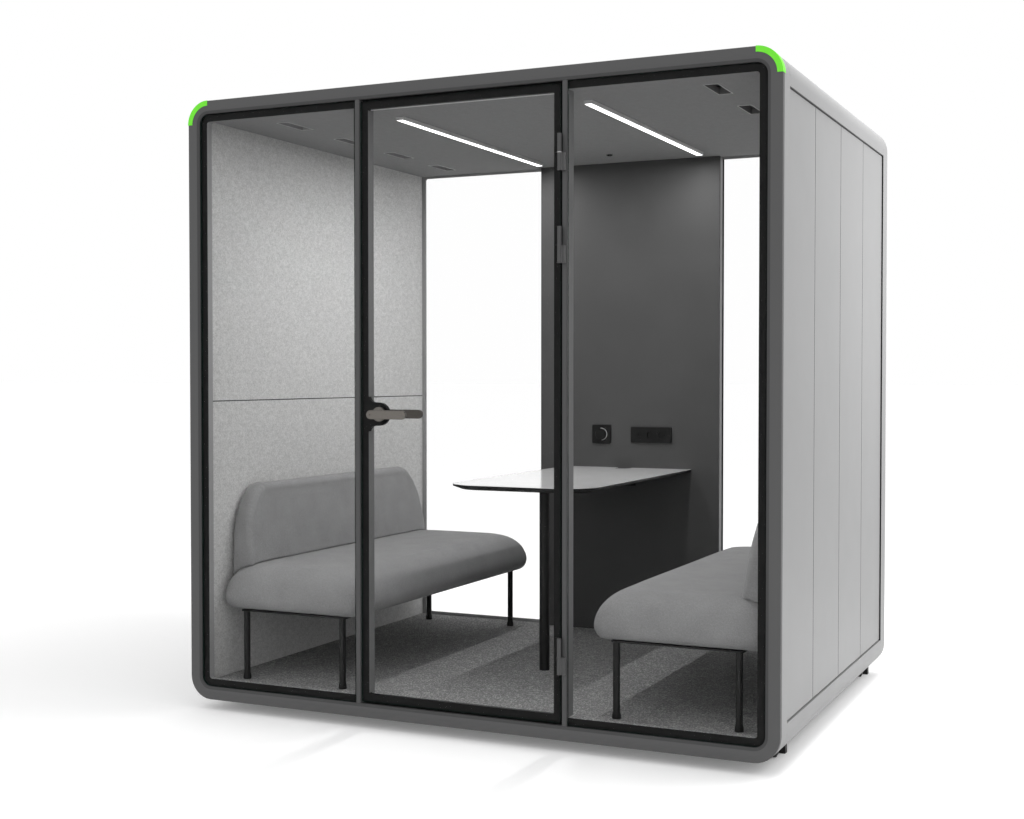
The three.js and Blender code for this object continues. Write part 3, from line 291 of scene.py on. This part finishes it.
def opal(name, strength):
    """Lit opal diffuser, its strength varying a little from place to place."""
    f = Finish(name, (0.95, 0.95, 0.95), 0.5, 0.3)
    f.set("Emission Color", (1.0, 1.0, 1.0, 1.0))
    f.set("Emission Strength", f.span(f.noise(0.05, 2.0), 0.2, 0.8, strength * 0.96, strength * 1.04))
    f.bump(f.noise(0.0006, 1.0), 0.00002, 0.4)
    return f.material


paint = {
    "graphite": powder_coat("graphite_paint", (0.1, 0.1, 0.101), 0.52, 0.25),
    "shell": powder_coat("shell_paint", (0.27, 0.27, 0.272), 0.42, 0.5),
    "accent": moulded("accent_green", (0.2, 0.93, 0.05), 0.45, 0.2),
    "border": moulded("border_black", (0.007, 0.007, 0.007), 0.5, 0.12),
    "glass": pane("clear_glass"),
    "lining": acoustic_cloth("lining_cloth", (0.076, 0.076, 0.076)),
    "carpet": loop_pile("carpet_pile", (0.37, 0.37, 0.37), (0.85, 0.85, 0.84)),
    "ceiling": pressed_felt("ceiling_felt", (0.22, 0.22, 0.22), 0.08, 0.2, 0.1),
    "felt": pressed_felt("wall_felt", (0.535, 0.535, 0.53), 0.14, 0.6, 0.45),
    "light": opal("light_opal", 3.0),
    "control": moulded("control_black", (0.01, 0.01, 0.01), 0.45, 0.15),
    "table_core": moulded("table_core_black", (0.01, 0.01, 0.01), 0.55, 0.25),
    "table_face": laminate("table_white", (0.67, 0.67, 0.67)),
    "black_steel": powder_coat("steel_black", (0.01, 0.01, 0.01), 0.5, 0.25),
    "upholstery": upholstery("sofa_wool", (0.28, 0.28, 0.282)),
    "handle": brushed("handle_bronze", (0.16, 0.149, 0.136), 0.36, (0.06, 1.0, 1.0)),
    "wheel": moulded("wheel_rubber", (0.014, 0.014, 0.014), 0.7, 0.3),
}
# A darker copy of the graphite: painted shade on the front ring's bevel.
bevel_painted_shade = powder_coat("bevel_painted_shade", (0.06, 0.06, 0.061), 0.52, 0.25)
mullion_paint = powder_coat("mullion_paint", (0.078, 0.078, 0.079), 0.5, 0.3)
# A lighter copy of the mullion graphite: painted light on the side faces of the mullions and the door frame.
side_painted_light = powder_coat("side_painted_light", (0.18, 0.18, 0.181), 0.5, 0.3)
reveal_paint = powder_coat("reveal_paint", (0.3, 0.3, 0.301), 0.55, 0.25)
# Bright alloy, given only to the top hinge's washer as a painted highlight.
washer_highlight_alloy = brushed("top_washer_highlight", (0.5, 0.5, 0.5), 0.4, (1.0, 0.05, 1.0))
# A darker copy of the handle bronze: painted shade on the inner rose and lever.
inner_bronze_painted_shade = brushed("inner_bronze_painted_shade", (0.105, 0.098, 0.09), 0.4, (0.06, 1.0, 1.0))
lens = moulded("sensor_dark", (0.02, 0.02, 0.02), 0.25, 0.5)
# Slot walls: lighter on the left and darker on the right, as painted light and shade.
slot_walls_lit_and_shaded = {-1: moulded("slot_left_painted_light", (0.32, 0.32, 0.32), 0.6, 0.15),
              1: moulded("slot_right_painted_shade", (0.16, 0.16, 0.16), 0.6, 0.15)}
# Light grey for the vent frames, and for two painted highlights: the strip over the door and the arc beside the knob.
trim_light_and_highlight = moulded("trim_light_and_highlight", (0.65, 0.65, 0.65), 0.45, 0.3)
channel_paint = powder_coat("channel_paint", (0.6, 0.6, 0.6), 0.45, 0.3)
# Painted shade for the felt's seam groove.
seam_painted_shade = moulded("seam_painted_shade", (0.07, 0.07, 0.07), 0.9, 0.05)
# Painted shade for the grooves between the shell's planks and bands.
painted_groove_shade = moulded("groove_painted_shade", (0.02, 0.02, 0.02), 0.7, 0.1)


# ---------------------------------------------------------------- shape tools
def welded(node):
    """A CAD node's shape as a bmesh, with split corners joined and flat areas made single faces."""
    source = nodes[node].data
    raw = bpy.data.meshes.new(node + "_raw")
    raw.from_pydata([v.co[:] for v in source.vertices], [], [p.vertices[:] for p in source.polygons])
    shape = bmesh.new()
    shape.from_mesh(raw)
    bpy.data.meshes.remove(raw)
    bmesh.ops.remove_doubles(shape, verts=shape.verts[:], dist=2e-5)
    bmesh.ops.dissolve_limit(shape, angle_limit=math.radians(0.3), verts=shape.verts[:], edges=shape.edges[:])
    return shape


def piece_of(name, shape, finishes, body, sharp=32.0):
    """A piece from a bmesh, smooth but for its sharp edges, riding on a body."""
    mesh = bpy.data.meshes.new(name)
    shape.to_mesh(mesh)
    shape.free()
    for face in mesh.polygons:
        face.use_smooth = True
    mesh.set_sharp_from_angle(angle=math.radians(sharp))
    for finish in finishes:
        mesh.materials.append(finish)
    piece = bpy.data.objects.new(name, mesh)
    scene.collection.objects.link(piece)
    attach(piece, body)
    return piece


def split(shape, axis, at):
    """Splits the faces that cross a plane square to an axis."""
    across = Vector([float(i == axis) for i in range(3)])
    bmesh.ops.bisect_plane(
        shape, geom=shape.verts[:] + shape.edges[:] + shape.faces[:], dist=1e-6, plane_co=across * at, plane_no=across)


def dress(node, slot, finishes=None, choose=None, cuts=()):
    """Shows a CAD node as a smooth-shaded copy. Where it has more than one finish, choose gives each face its
    number, after the faces are split at the cuts."""
    shape = welded(node)
    for axis, at in cuts:
        split(shape, axis, at)
    if choose:
        shape.normal_update()
        for face in shape.faces:
            face.material_index = choose(face)
    piece = piece_of(node + "_finish", shape, finishes or [paint[slot]], carrier[node])
    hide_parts(node)
    return piece


# ---------------------------------------------------------------- rigid parts
sides = ("left", "right")
hinge = Vector(next(j for j in frame["joints"] if j["name"] == "door_hinge")["pos_m"])
knuckle_r = 0.0078
leaves = ("hinge_leaf_1", "hinge_leaf_2", "hinge_leaf_3")
top_leaf = max(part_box(name)[0].z for name in leaves)


def from_hinge(face):
    middle = face.calc_center_median()
    return math.hypot(middle.x - hinge.x, middle.y - hinge.y)


def mullion_finish(face):
    """The lower knuckles end in a washer that is a little wider than the knuckle; only the top hinge's washer is
    bright alloy, a painted highlight. Side faces take a lighter grey than the fronts, as painted light.
    """
    reach = max(math.hypot(v.co.x - hinge.x, v.co.y - hinge.y) for v in face.verts)
    if knuckle_r < reach < 0.0086:
        return 2 if face.calc_center_median().z > top_leaf - 0.1 else 0
    return int(abs(face.normal.x) > 0.9)


# The ring's bevel faces are painted a darker graphite, as painted shade.
dress("front_ring", "graphite", finishes=[paint["graphite"], bevel_painted_shade],
      choose=lambda face: int(-0.95 < face.normal.y < -0.85))
for name in ("mullion_left", "mullion_right"):
    dress(name, "graphite", finishes=[mullion_paint, side_painted_light, washer_highlight_alloy], choose=mullion_finish)
for name in leaves:
    dress(name, "graphite", finishes=[mullion_paint, paint["border"]],
          choose=lambda face: int(from_hinge(face) > 0.0085))
for name in ("front_band", "roof_shell", "floor_pan", "rear_outer_panel"):
    dress(name, "shell")

# Rear band: painted outside, with a window frame of its own tone at the glass.
panel_low, panel_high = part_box("rear_inner_panel")
rear_low, rear_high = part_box("rear_frame")
glass_low, glass_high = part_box("rear_glass_right")


corner_r = 0.086


def inset(point):
    """How far a point lies inside the rounded outline of the shell, seen from the front."""
    across = abs(point.x) - rear_high.x + corner_r
    upright = abs(point.z - (rear_low.z + rear_high.z) / 2) - (rear_high.z - rear_low.z) / 2 + corner_r
    if across > 0.0 and upright > 0.0:
        return corner_r - math.hypot(across, upright)
    return corner_r - max(across, upright)


def rear_finish(face):
    middle = face.calc_center_median()
    # Painted shade: the rear band's face that meets the planks' groove.
    if middle.y < rear_low.y + 0.001:
        return 3
    at_glass = glass_low.y - 0.009 < middle.y < glass_low.y + 0.0005
    if not (at_glass and inset(middle) > 0.046 and abs(middle.x) > panel_high.x + 0.001):
        return 0
    return 2 if middle.z < rear_low.z + 0.1 and abs(face.normal.x) < 0.5 else 1


dress("rear_frame", "shell", choose=rear_finish,
      finishes=[paint["shell"], reveal_paint, paint["carpet"], painted_groove_shade],
      cuts=[(0, panel_low.x), (0, panel_high.x)])
plank_low, plank_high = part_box("plank_right_1")
for side in sides:
    dress("accent_" + side, "accent")
    for i in range(1, 5):
        # The planks' groove faces are painted dark, as painted shade.
        plank = dress(f"plank_{side}_{i}", "shell", finishes=[paint["shell"], painted_groove_shade], choose=lambda face: int(
            plank_high.x - 0.0145 < abs(face.calc_center_median().x) < plank_high.x - 0.0003))
        for v in plank.data.vertices:
            if abs(v.co.x) > plank_high.x - 0.0135:
                v.co.x -= math.copysign(0.005, v.co.x)

# Border: black behind the glass, and lined like the room on the sides that face into it.
border_low, border_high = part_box("front_border")
door_low, door_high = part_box("door_frame")
stile = 0.026


def border_finish(face):
    middle = face.calc_center_median()
    if abs(face.normal.y) > 0.5 or inset(middle) < 0.06:
        return 0
    if abs(face.normal.z) < 0.7:
        return 1
    return 2 if face.normal.z > 0 else 3


dress("front_border", "border", choose=border_finish, finishes=[
    paint["border"], reveal_paint, paint["carpet"], paint["ceiling"]])
# The door frame's side faces are painted a lighter grey, as painted light.
dress("door_frame", "border", finishes=[paint["border"], side_painted_light], choose=lambda face: int(
    abs(face.normal.x) > 0.95 and abs(face.calc_center_median().x) < door_high.x - 0.5 * stile))
for name in ("rose_outer", "lever_outer", "latch_bolt"):
    dress(name, "handle")
# The inner rose and lever take the darker bronze, as painted shade.
for name in ("rose_inner", "lever_inner"):
    dress(name, "handle", finishes=[inner_bronze_painted_shade])
for name in ("control_plate", "control_knob", "socket_plate"):
    dress(name, "control")
dress("table_top", "table_core")
dress("table_face", "table_face")
base_low, base_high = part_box("sofa_right_base")
dress("table_frame", "black_steel")
for side, sign in zip(sides, (-1, 1)):
    # The plate under the seat ends flush with the legs, and runs out to the back's bracket behind them.
    points = [v.co for v in nodes[f"sofa_{side}_base"].data.vertices]
    legs = [abs(p.x) for p in points if p.z < base_high.z - 0.4]
    bracket = [p.y for p in points if p.z > base_high.z - 0.01]
    base = dress(f"sofa_{side}_base", "black_steel", cuts=[(0, sign * max(legs))])
    for v in base.data.vertices:
        if abs(v.co.x) < min(legs):
            v.co.x = sign * min(legs)
        elif abs(v.co.x) > max(legs) + 0.0001:
            v.co.y = min(max(v.co.y, min(bracket)), max(bracket))
for end in ("front", "rear"):
    for side in sides:
        dress(f"foot_{end}_{side}", "black_steel")
        dress(f"wheel_{end}_{side}", "wheel")
for name, slot in (
    ("front_glass_left", "glass"), ("front_glass_right", "glass"), ("door_glass", "glass"),
    ("rear_glass_left", "glass"), ("rear_glass_right", "glass"), ("rear_inner_panel", "lining"),
    ("carpet", "carpet"),
):
    nodes[name].material_slots[0].material = paint[slot]

# Felt walls, with painted shade in the seam's groove.
for side in sides:
    dress("felt_" + side, "felt", finishes=[paint["felt"], seam_painted_shade], choose=lambda face: int(
        0.2 < abs(face.normal.z) < 0.98))

# Ceiling: grey air slots, their walls painted lighter on the left and darker on the right as painted light and shade,
# and a dark cap on the sensor.
ceiling_low, ceiling_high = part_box("ceiling")
under = ceiling_high.z - 0.012


def ceiling_finish(face):
    middle = face.calc_center_median()
    if middle.z < under - 0.0005:
        return 1
    slot_wall = abs(face.normal.z) < 0.5 and 0.7 < abs(middle.x) < 0.95 and abs(middle.y) < ceiling_high.y - 0.01
    if not slot_wall:
        return 0
    # Painted light on the left slots' walls, painted shade on the right ones.
    return 2 if middle.x < 0 else 3


dress("ceiling", "ceiling", choose=ceiling_finish,
      finishes=[paint["ceiling"], lens, slot_walls_lit_and_shaded[-1], slot_walls_lit_and_shaded[1]])


def swept(rings, closed=True):
    """A bmesh skinned over rings of points, joined end to end where closed."""
    shape = bmesh.new()
    rows = [[shape.verts.new(p) for p in ring] for ring in rings]
    for i in range(len(rows) if closed else len(rows) - 1):
        one, two = rows[i], rows[(i + 1) % len(rows)]
        for j in range(len(one)):
            k = (j + 1) % len(one)
            shape.faces.new((one[j], one[k], two[k], two[j]))
    if not closed:
        shape.faces.new(rows[0][::-1])
        shape.faces.new(rows[-1])
    bmesh.ops.recalc_face_normals(shape, faces=shape.faces[:])
    return shape


def joined(shapes):
    """One bmesh of several."""
    whole = bmesh.new()
    for shape in shapes:
        part = bpy.data.meshes.new("part")
        shape.to_mesh(part)
        shape.free()
        whole.from_mesh(part)
        bpy.data.meshes.remove(part)
    return whole


# A slim light frame round each air slot, and a short duct above it, painted lighter on the left and darker on the
# right as painted light and shade.
slot_points = [v.co for v in nodes["ceiling"].data.vertices if 0.75 < abs(v.co.x) < 0.92]
slot_x = sorted({round(abs(p.x), 4) for p in slot_points})
slot_y = sorted({round(p.y, 4) for p in slot_points})
frames = []
for sign, side in zip((-1, 1), sides):
    ducts = []
    for y0, y1 in zip(slot_y[::2], slot_y[1::2]):
        rings = []
        duct = []
        for x, y in ((slot_x[0], y0), (slot_x[1], y0), (slot_x[1], y1), (slot_x[0], y1)):
            out = Vector((1 if x > sum(slot_x) / 2 else -1, 1 if y > (y0 + y1) / 2 else -1))
            rings.append([(sign * (x + out.x * d), y + out.y * d, under + h) for d, h in (
                (0.0, 0.0004), (0.0, -0.0006), (0.0004, -0.001), (0.0022, -0.0008), (0.0026, 0.0),
                (0.0013, 0.0004))])
            duct.append([(sign * (x + out.x * d), y + out.y * d, ceiling_high.z + h) for d, h in (
                (0.0, 0.0002), (0.0, 0.011), (0.0015, 0.011), (0.0015, 0.0002))])
        frames.append(swept(rings))
        ducts.append(swept(duct))
    piece_of(f"vent_ducts_{side}", joined(ducts), [slot_walls_lit_and_shaded[sign]], "pod")
piece_of("vent_frames", joined(frames), [trim_light_and_highlight], "pod")

# A light strip under the border over the door, a painted highlight.
head_x = door_high.x - stile
head_z = border_high.z - 0.0283
section = ((0.0015, 0.0), (0.0015, -0.011), (0.0025, -0.012), (0.0075, -0.012), (0.0085, -0.011), (0.0085, 0.0))
piece_of("door_head_highlight_strip", swept([[(x, border_high.y - d, head_z + e) for d, e in section]
                                   for x in (-head_x, head_x)], closed=False), [trim_light_and_highlight], "pod")

# A light arc on the control plate, round the right half of the knob: a painted highlight of the knob's rim.
plate_low, plate_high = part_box("control_plate")
middle = (plate_low + plate_high) / 2
rings = []
for i in range(33):
    a = math.radians(-88 + i * 5.75)
    rings.append([(middle.x + r * math.cos(a), plate_low.y + d, middle.z + r * math.sin(a)) for r, d in (
        (0.0258, 0.0003), (0.0260, -0.0006), (0.0279, -0.0006), (0.0282, 0.0003))])
piece_of("knob_highlight_arc", swept(rings, closed=False), [trim_light_and_highlight], "pod")

# Black seals where the rear panes meet the posts.
seals = []
for sign in (-1, 1):
    x0, y1 = panel_high.x, glass_low.y
    section = ((0.0, -0.0055), (0.0038, -0.0055), (0.0048, -0.0045), (0.0048, -0.0002), (0.0, -0.0002))
    seals.append(swept([[(sign * (x0 + 0.0001 + d), y1 + e, z) for d, e in section]
                        for z in (rear_low.z + 0.0765, rear_high.z - 0.0765)], closed=False))
piece_of("pane_seals", joined(seals), [paint["border"]], "pod")

# Light bars: an opal lens in a light painted channel.
for side in sides:
    dress("led_" + side, "light", finishes=[channel_paint, paint["light"]],
          choose=lambda face: int(face.normal.z < -0.9))


# ---------------------------------------------------------------- sofa cushions
def plumped(node, voxel, held, proud, shrink=0.002, cap=0.022, slack=0.002):
    """The cushion of a CAD node, blown up under its cover. No point moves further than cap, stands more than
    proud(point) outside the solid or sinks deeper than slack into it. Held points stay where they rest."""
    shape = welded(node)
    bmesh.ops.triangulate(shape, faces=shape.faces[:])
    solid = BVHTree.FromBMesh(shape)
    mesh = bpy.data.meshes.new(node + "_cover")
    shape.to_mesh(mesh)
    shape.free()
    cover = bpy.data.objects.new(node + "_cover", mesh)
    scene.collection.objects.link(cover)
    remesh = cover.modifiers.new("remesh", "REMESH")
    remesh.mode = "VOXEL"
    remesh.voxel_size = voxel
    remesh.adaptivity = 0.0

    def settle():
        made = bpy.data.meshes.new_from_object(cover.evaluated_get(bpy.context.evaluated_depsgraph_get()))
        cover.modifiers.clear()
        cover.data = made
        return made

    mesh = settle()
    resting = [held(solid.find_nearest(v.co)[1], v.co) for v in mesh.vertices]
    normals = [v.normal.copy() for v in mesh.vertices]
    for v, n, fixed in zip(mesh.vertices, normals, resting):
        if not fixed:
            v.co -= n * shrink
    start = [v.co.copy() for v in mesh.vertices]
    pinned = cover.vertex_groups.new(name="pinned")
    pinned.add([v.index for v, fixed in zip(mesh.vertices, resting) if fixed], 1.0, "REPLACE")
    cloth = cover.modifiers.new("cloth", "CLOTH")
    cloth.settings.quality = 4
    cloth.settings.mass = 0.3
    cloth.settings.tension_stiffness = 20
    cloth.settings.compression_stiffness = 20
    cloth.settings.shear_stiffness = 8
    cloth.settings.bending_stiffness = 2.0
    cloth.settings.use_pressure = True
    cloth.settings.uniform_pressure_force = 4.0
    cloth.settings.effector_weights.gravity = 0.0
    cloth.settings.vertex_group_mass = "pinned"
    cloth.collision_settings.use_collision = False
    for step in range(1, 21):
        scene.frame_set(step)
    mesh = settle()
    scene.frame_set(1)
    cover.vertex_groups.clear()
    for v, from_ in zip(mesh.vertices, start):
        move = v.co - from_
        if move.length > cap:
            v.co = from_ + move * (cap / move.length)
    shape = bmesh.new()
    shape.from_mesh(mesh)
    shape.verts.ensure_lookup_table()
    loose = [v for v, fixed in zip(shape.verts, resting) if not fixed]
    for depth in (slack, slack, slack, 3 * slack, 3 * slack, 3 * slack):
        bmesh.ops.smooth_vert(shape, verts=loose, factor=0.5, use_axis_x=True, use_axis_y=True, use_axis_z=True)
        for v in shape.verts:
            near, normal, _, _ = solid.find_nearest(v.co)
            out = (v.co - near).dot(normal)
            v.co += normal * (min(max(out, -depth), proud(v.co)) - out)
    bmesh.ops.smooth_vert(shape, verts=loose, factor=0.5, use_axis_x=True, use_axis_y=True, use_axis_z=True)
    # What the smoothing took off its round edges is given back, evenly.
    shape.normal_update()
    lack = []
    for v in shape.verts:
        near, normal, _, _ = solid.find_nearest(v.co)
        lack.append(max(0.0, (near - v.co).dot(normal)))
    around = [[e.other_vert(v).index for e in v.link_edges] for v in shape.verts]
    for _ in range(10):
        lack = [0.5 * own + 0.5 * sum(lack[i] for i in ring) / len(ring) for own, ring in zip(lack, around)]
    for v in loose:
        v.co += v.normal * lack[v.index]
    bpy.data.objects.remove(cover)
    return shape


def mirrored(shape):
    other = shape.copy()
    for v in other.verts:
        v.co.x = -v.co.x
    bmesh.ops.reverse_faces(other, faces=other.faces[:])
    return other


seat_low, seat_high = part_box("sofa_right_seat")
back_low, back_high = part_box("sofa_right_back")


def ramp(value, start, end):
    """A soft step from 0 at start to 1 at end."""
    t = min(1.0, max(0.0, (value - start) / (end - start)))
    return t * t * (3 - 2 * t)


def seat_crown(p):
    """How far the seat may stand proud of its solid: most in the middle of the free top, nothing at the back."""
    along = 1 - ramp(abs(p.y - (seat_low.y + seat_high.y) / 2), 0.35, 0.72)
    return 0.0002 + 0.004 * along * ramp(p.x, back_low.x - 0.01, back_low.x - 0.17) * ramp(
        p.z, seat_high.z - 0.1, seat_high.z)


def back_crown(p):
    """The back may swell towards the seat, and not towards the wall or down on the seat."""
    along = 1 - ramp(abs(p.y - (back_low.y + back_high.y) / 2), 0.3, 0.62)
    upright = ramp(p.z, seat_high.z + 0.01, seat_high.z + 0.14) * ramp(p.z, back_high.z - 0.03, back_high.z - 0.2)
    return 0.0002 + 0.004 * along * upright * ramp(p.x, back_high.x - 0.03, back_high.x - 0.06)


def on_base(normal, p):
    return normal.z < -0.95


def on_seat(normal, p):
    return normal.z < -0.05 or normal.x > 0.95


for part, voxel, held, crown, fill in (
    ("seat", 0.011, on_base, seat_crown, 0.85), ("back", 0.008, on_seat, back_crown, 0.8),
):
    right = plumped(f"sofa_right_{part}", voxel, held, crown)
    left = mirrored(right)
    for side, shape in (("right", right), ("left", left)):
        piece = piece_of(f"sofa_{side}_{part}_cushion", shape, [paint["upholstery"]], "pod", 180.0)
        piece.modifiers.new("smooth", "SUBSURF").levels = 1
        piece.modifiers["smooth"].render_levels = 1
        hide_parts(f"sofa_{side}_{part}")


# ---------------------------------------------------------------- light and surroundings
def light_path(tree):
    """1 for what the camera sees straight, in gloss or through glass."""
    path = tree.nodes.new("ShaderNodeLightPath")
    seen = None
    for name in ("Is Camera Ray", "Is Glossy Ray", "Is Transmission Ray"):
        if seen is None:
            seen = path.outputs[name]
            continue
        most = tree.nodes.new("ShaderNodeMath")
        most.operation = "MAXIMUM"
        tree.links.new(seen, most.inputs[0])
        tree.links.new(path.outputs[name], most.inputs[1])
        seen = most.outputs[0]
    return seen


world = bpy.data.worlds.new("studio")
scene.world = world
world.use_nodes = True
sky = world.node_tree.nodes["Background"]
sky.inputs["Color"].default_value = (1.0, 1.0, 1.0, 1.0)
# White to the eye. As light on the object it is a little stronger from the front than from behind.
towards = world.node_tree.nodes.new("ShaderNodeTexCoord")
parts = world.node_tree.nodes.new("ShaderNodeSeparateXYZ")
world.node_tree.links.new(towards.outputs["Generated"], parts.inputs[0])
fade = world.node_tree.nodes.new("ShaderNodeMapRange")
world.node_tree.links.new(parts.outputs["Y"], fade.inputs[0])
fade.inputs[1].default_value = -1.0
fade.inputs[3].default_value = 1.16
fade.inputs[4].default_value = 0.7
level = world.node_tree.nodes.new("ShaderNodeMapRange")
world.node_tree.links.new(light_path(world.node_tree), level.inputs[0])
world.node_tree.links.new(fade.outputs[0], level.inputs[3])
level.inputs[4].default_value = 1.0
world.node_tree.links.new(level.outputs[0], sky.inputs["Strength"])

floor_mesh = bpy.data.meshes.new("studio_floor")
floor_mesh.from_pydata([(-200, -200, 0), (200, -200, 0), (200, 200, 0), (-200, 200, 0)], [], [(0, 1, 2, 3)])
floor_paint = bpy.data.materials.new("studio_floor")
floor_paint.use_nodes = True
tree = floor_paint.node_tree
tree.nodes.clear()
matt = tree.nodes.new("ShaderNodeBsdfDiffuse")
seen = light_path(tree)
tone = tree.nodes.new("ShaderNodeMix")
tone.data_type = "RGBA"
tone.inputs[6].default_value = (0.55, 0.55, 0.55, 1.0)
tone.inputs[7].default_value = (0.93, 0.93, 0.93, 1.0)
tree.links.new(seen, tone.inputs[0])
tree.links.new(tone.outputs[2], matt.inputs["Color"])
lift = tree.nodes.new("ShaderNodeEmission")
strength = tree.nodes.new("ShaderNodeMath")
strength.operation = "MULTIPLY"
strength.inputs[1].default_value = 0.14
tree.links.new(seen, strength.inputs[0])
tree.links.new(strength.outputs[0], lift.inputs["Strength"])
both = tree.nodes.new("ShaderNodeAddShader")
tree.links.new(matt.outputs[0], both.inputs[0])
tree.links.new(lift.outputs[0], both.inputs[1])
out = tree.nodes.new("ShaderNodeOutputMaterial")
tree.links.new(both.outputs[0], out.inputs["Surface"])
floor_mesh.materials.append(floor_paint)
floor = bpy.data.objects.new("studio_floor", floor_mesh)
scene.collection.objects.link(floor)


def area_lamp(name, place, aim, size, size_y, power):
    data = bpy.data.lights.new(name, "AREA")
    data.shape = "RECTANGLE"
    data.size, data.size_y, data.energy = size, size_y, power
    lamp = bpy.data.objects.new(name, data)
    lamp.location = place
    lamp.rotation_euler = (Vector(aim) - Vector(place)).to_track_quat("-Z", "Y").to_euler()
    lamp.visible_camera = False
    lamp.visible_glossy = False
    scene.collection.objects.link(lamp)
    return lamp


# The light bars' own light, just under each lens.
for side in sides:
    low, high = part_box("led_" + side)
    middle = (low + high) / 2
    place = (middle.x, middle.y, low.z - 0.004)
    area_lamp("bar_light_" + side, place, (middle.x, middle.y, 0.0), high.x - low.x - 0.008, high.y - low.y, 9.8)

# A soft lamp beside the rear of the right wall, and one over the roof.
area_lamp("side_light", (2.45, 0.9, 1.9), (1.1, 0.4, 1.5), 1.2, 1.2, 20.0)
area_lamp("top_light", (1.3, 0.2, 4.6), (1.1, 0.0, 2.2), 2.0, 2.0, 120.0)

scene.view_settings.view_transform = "Standard"
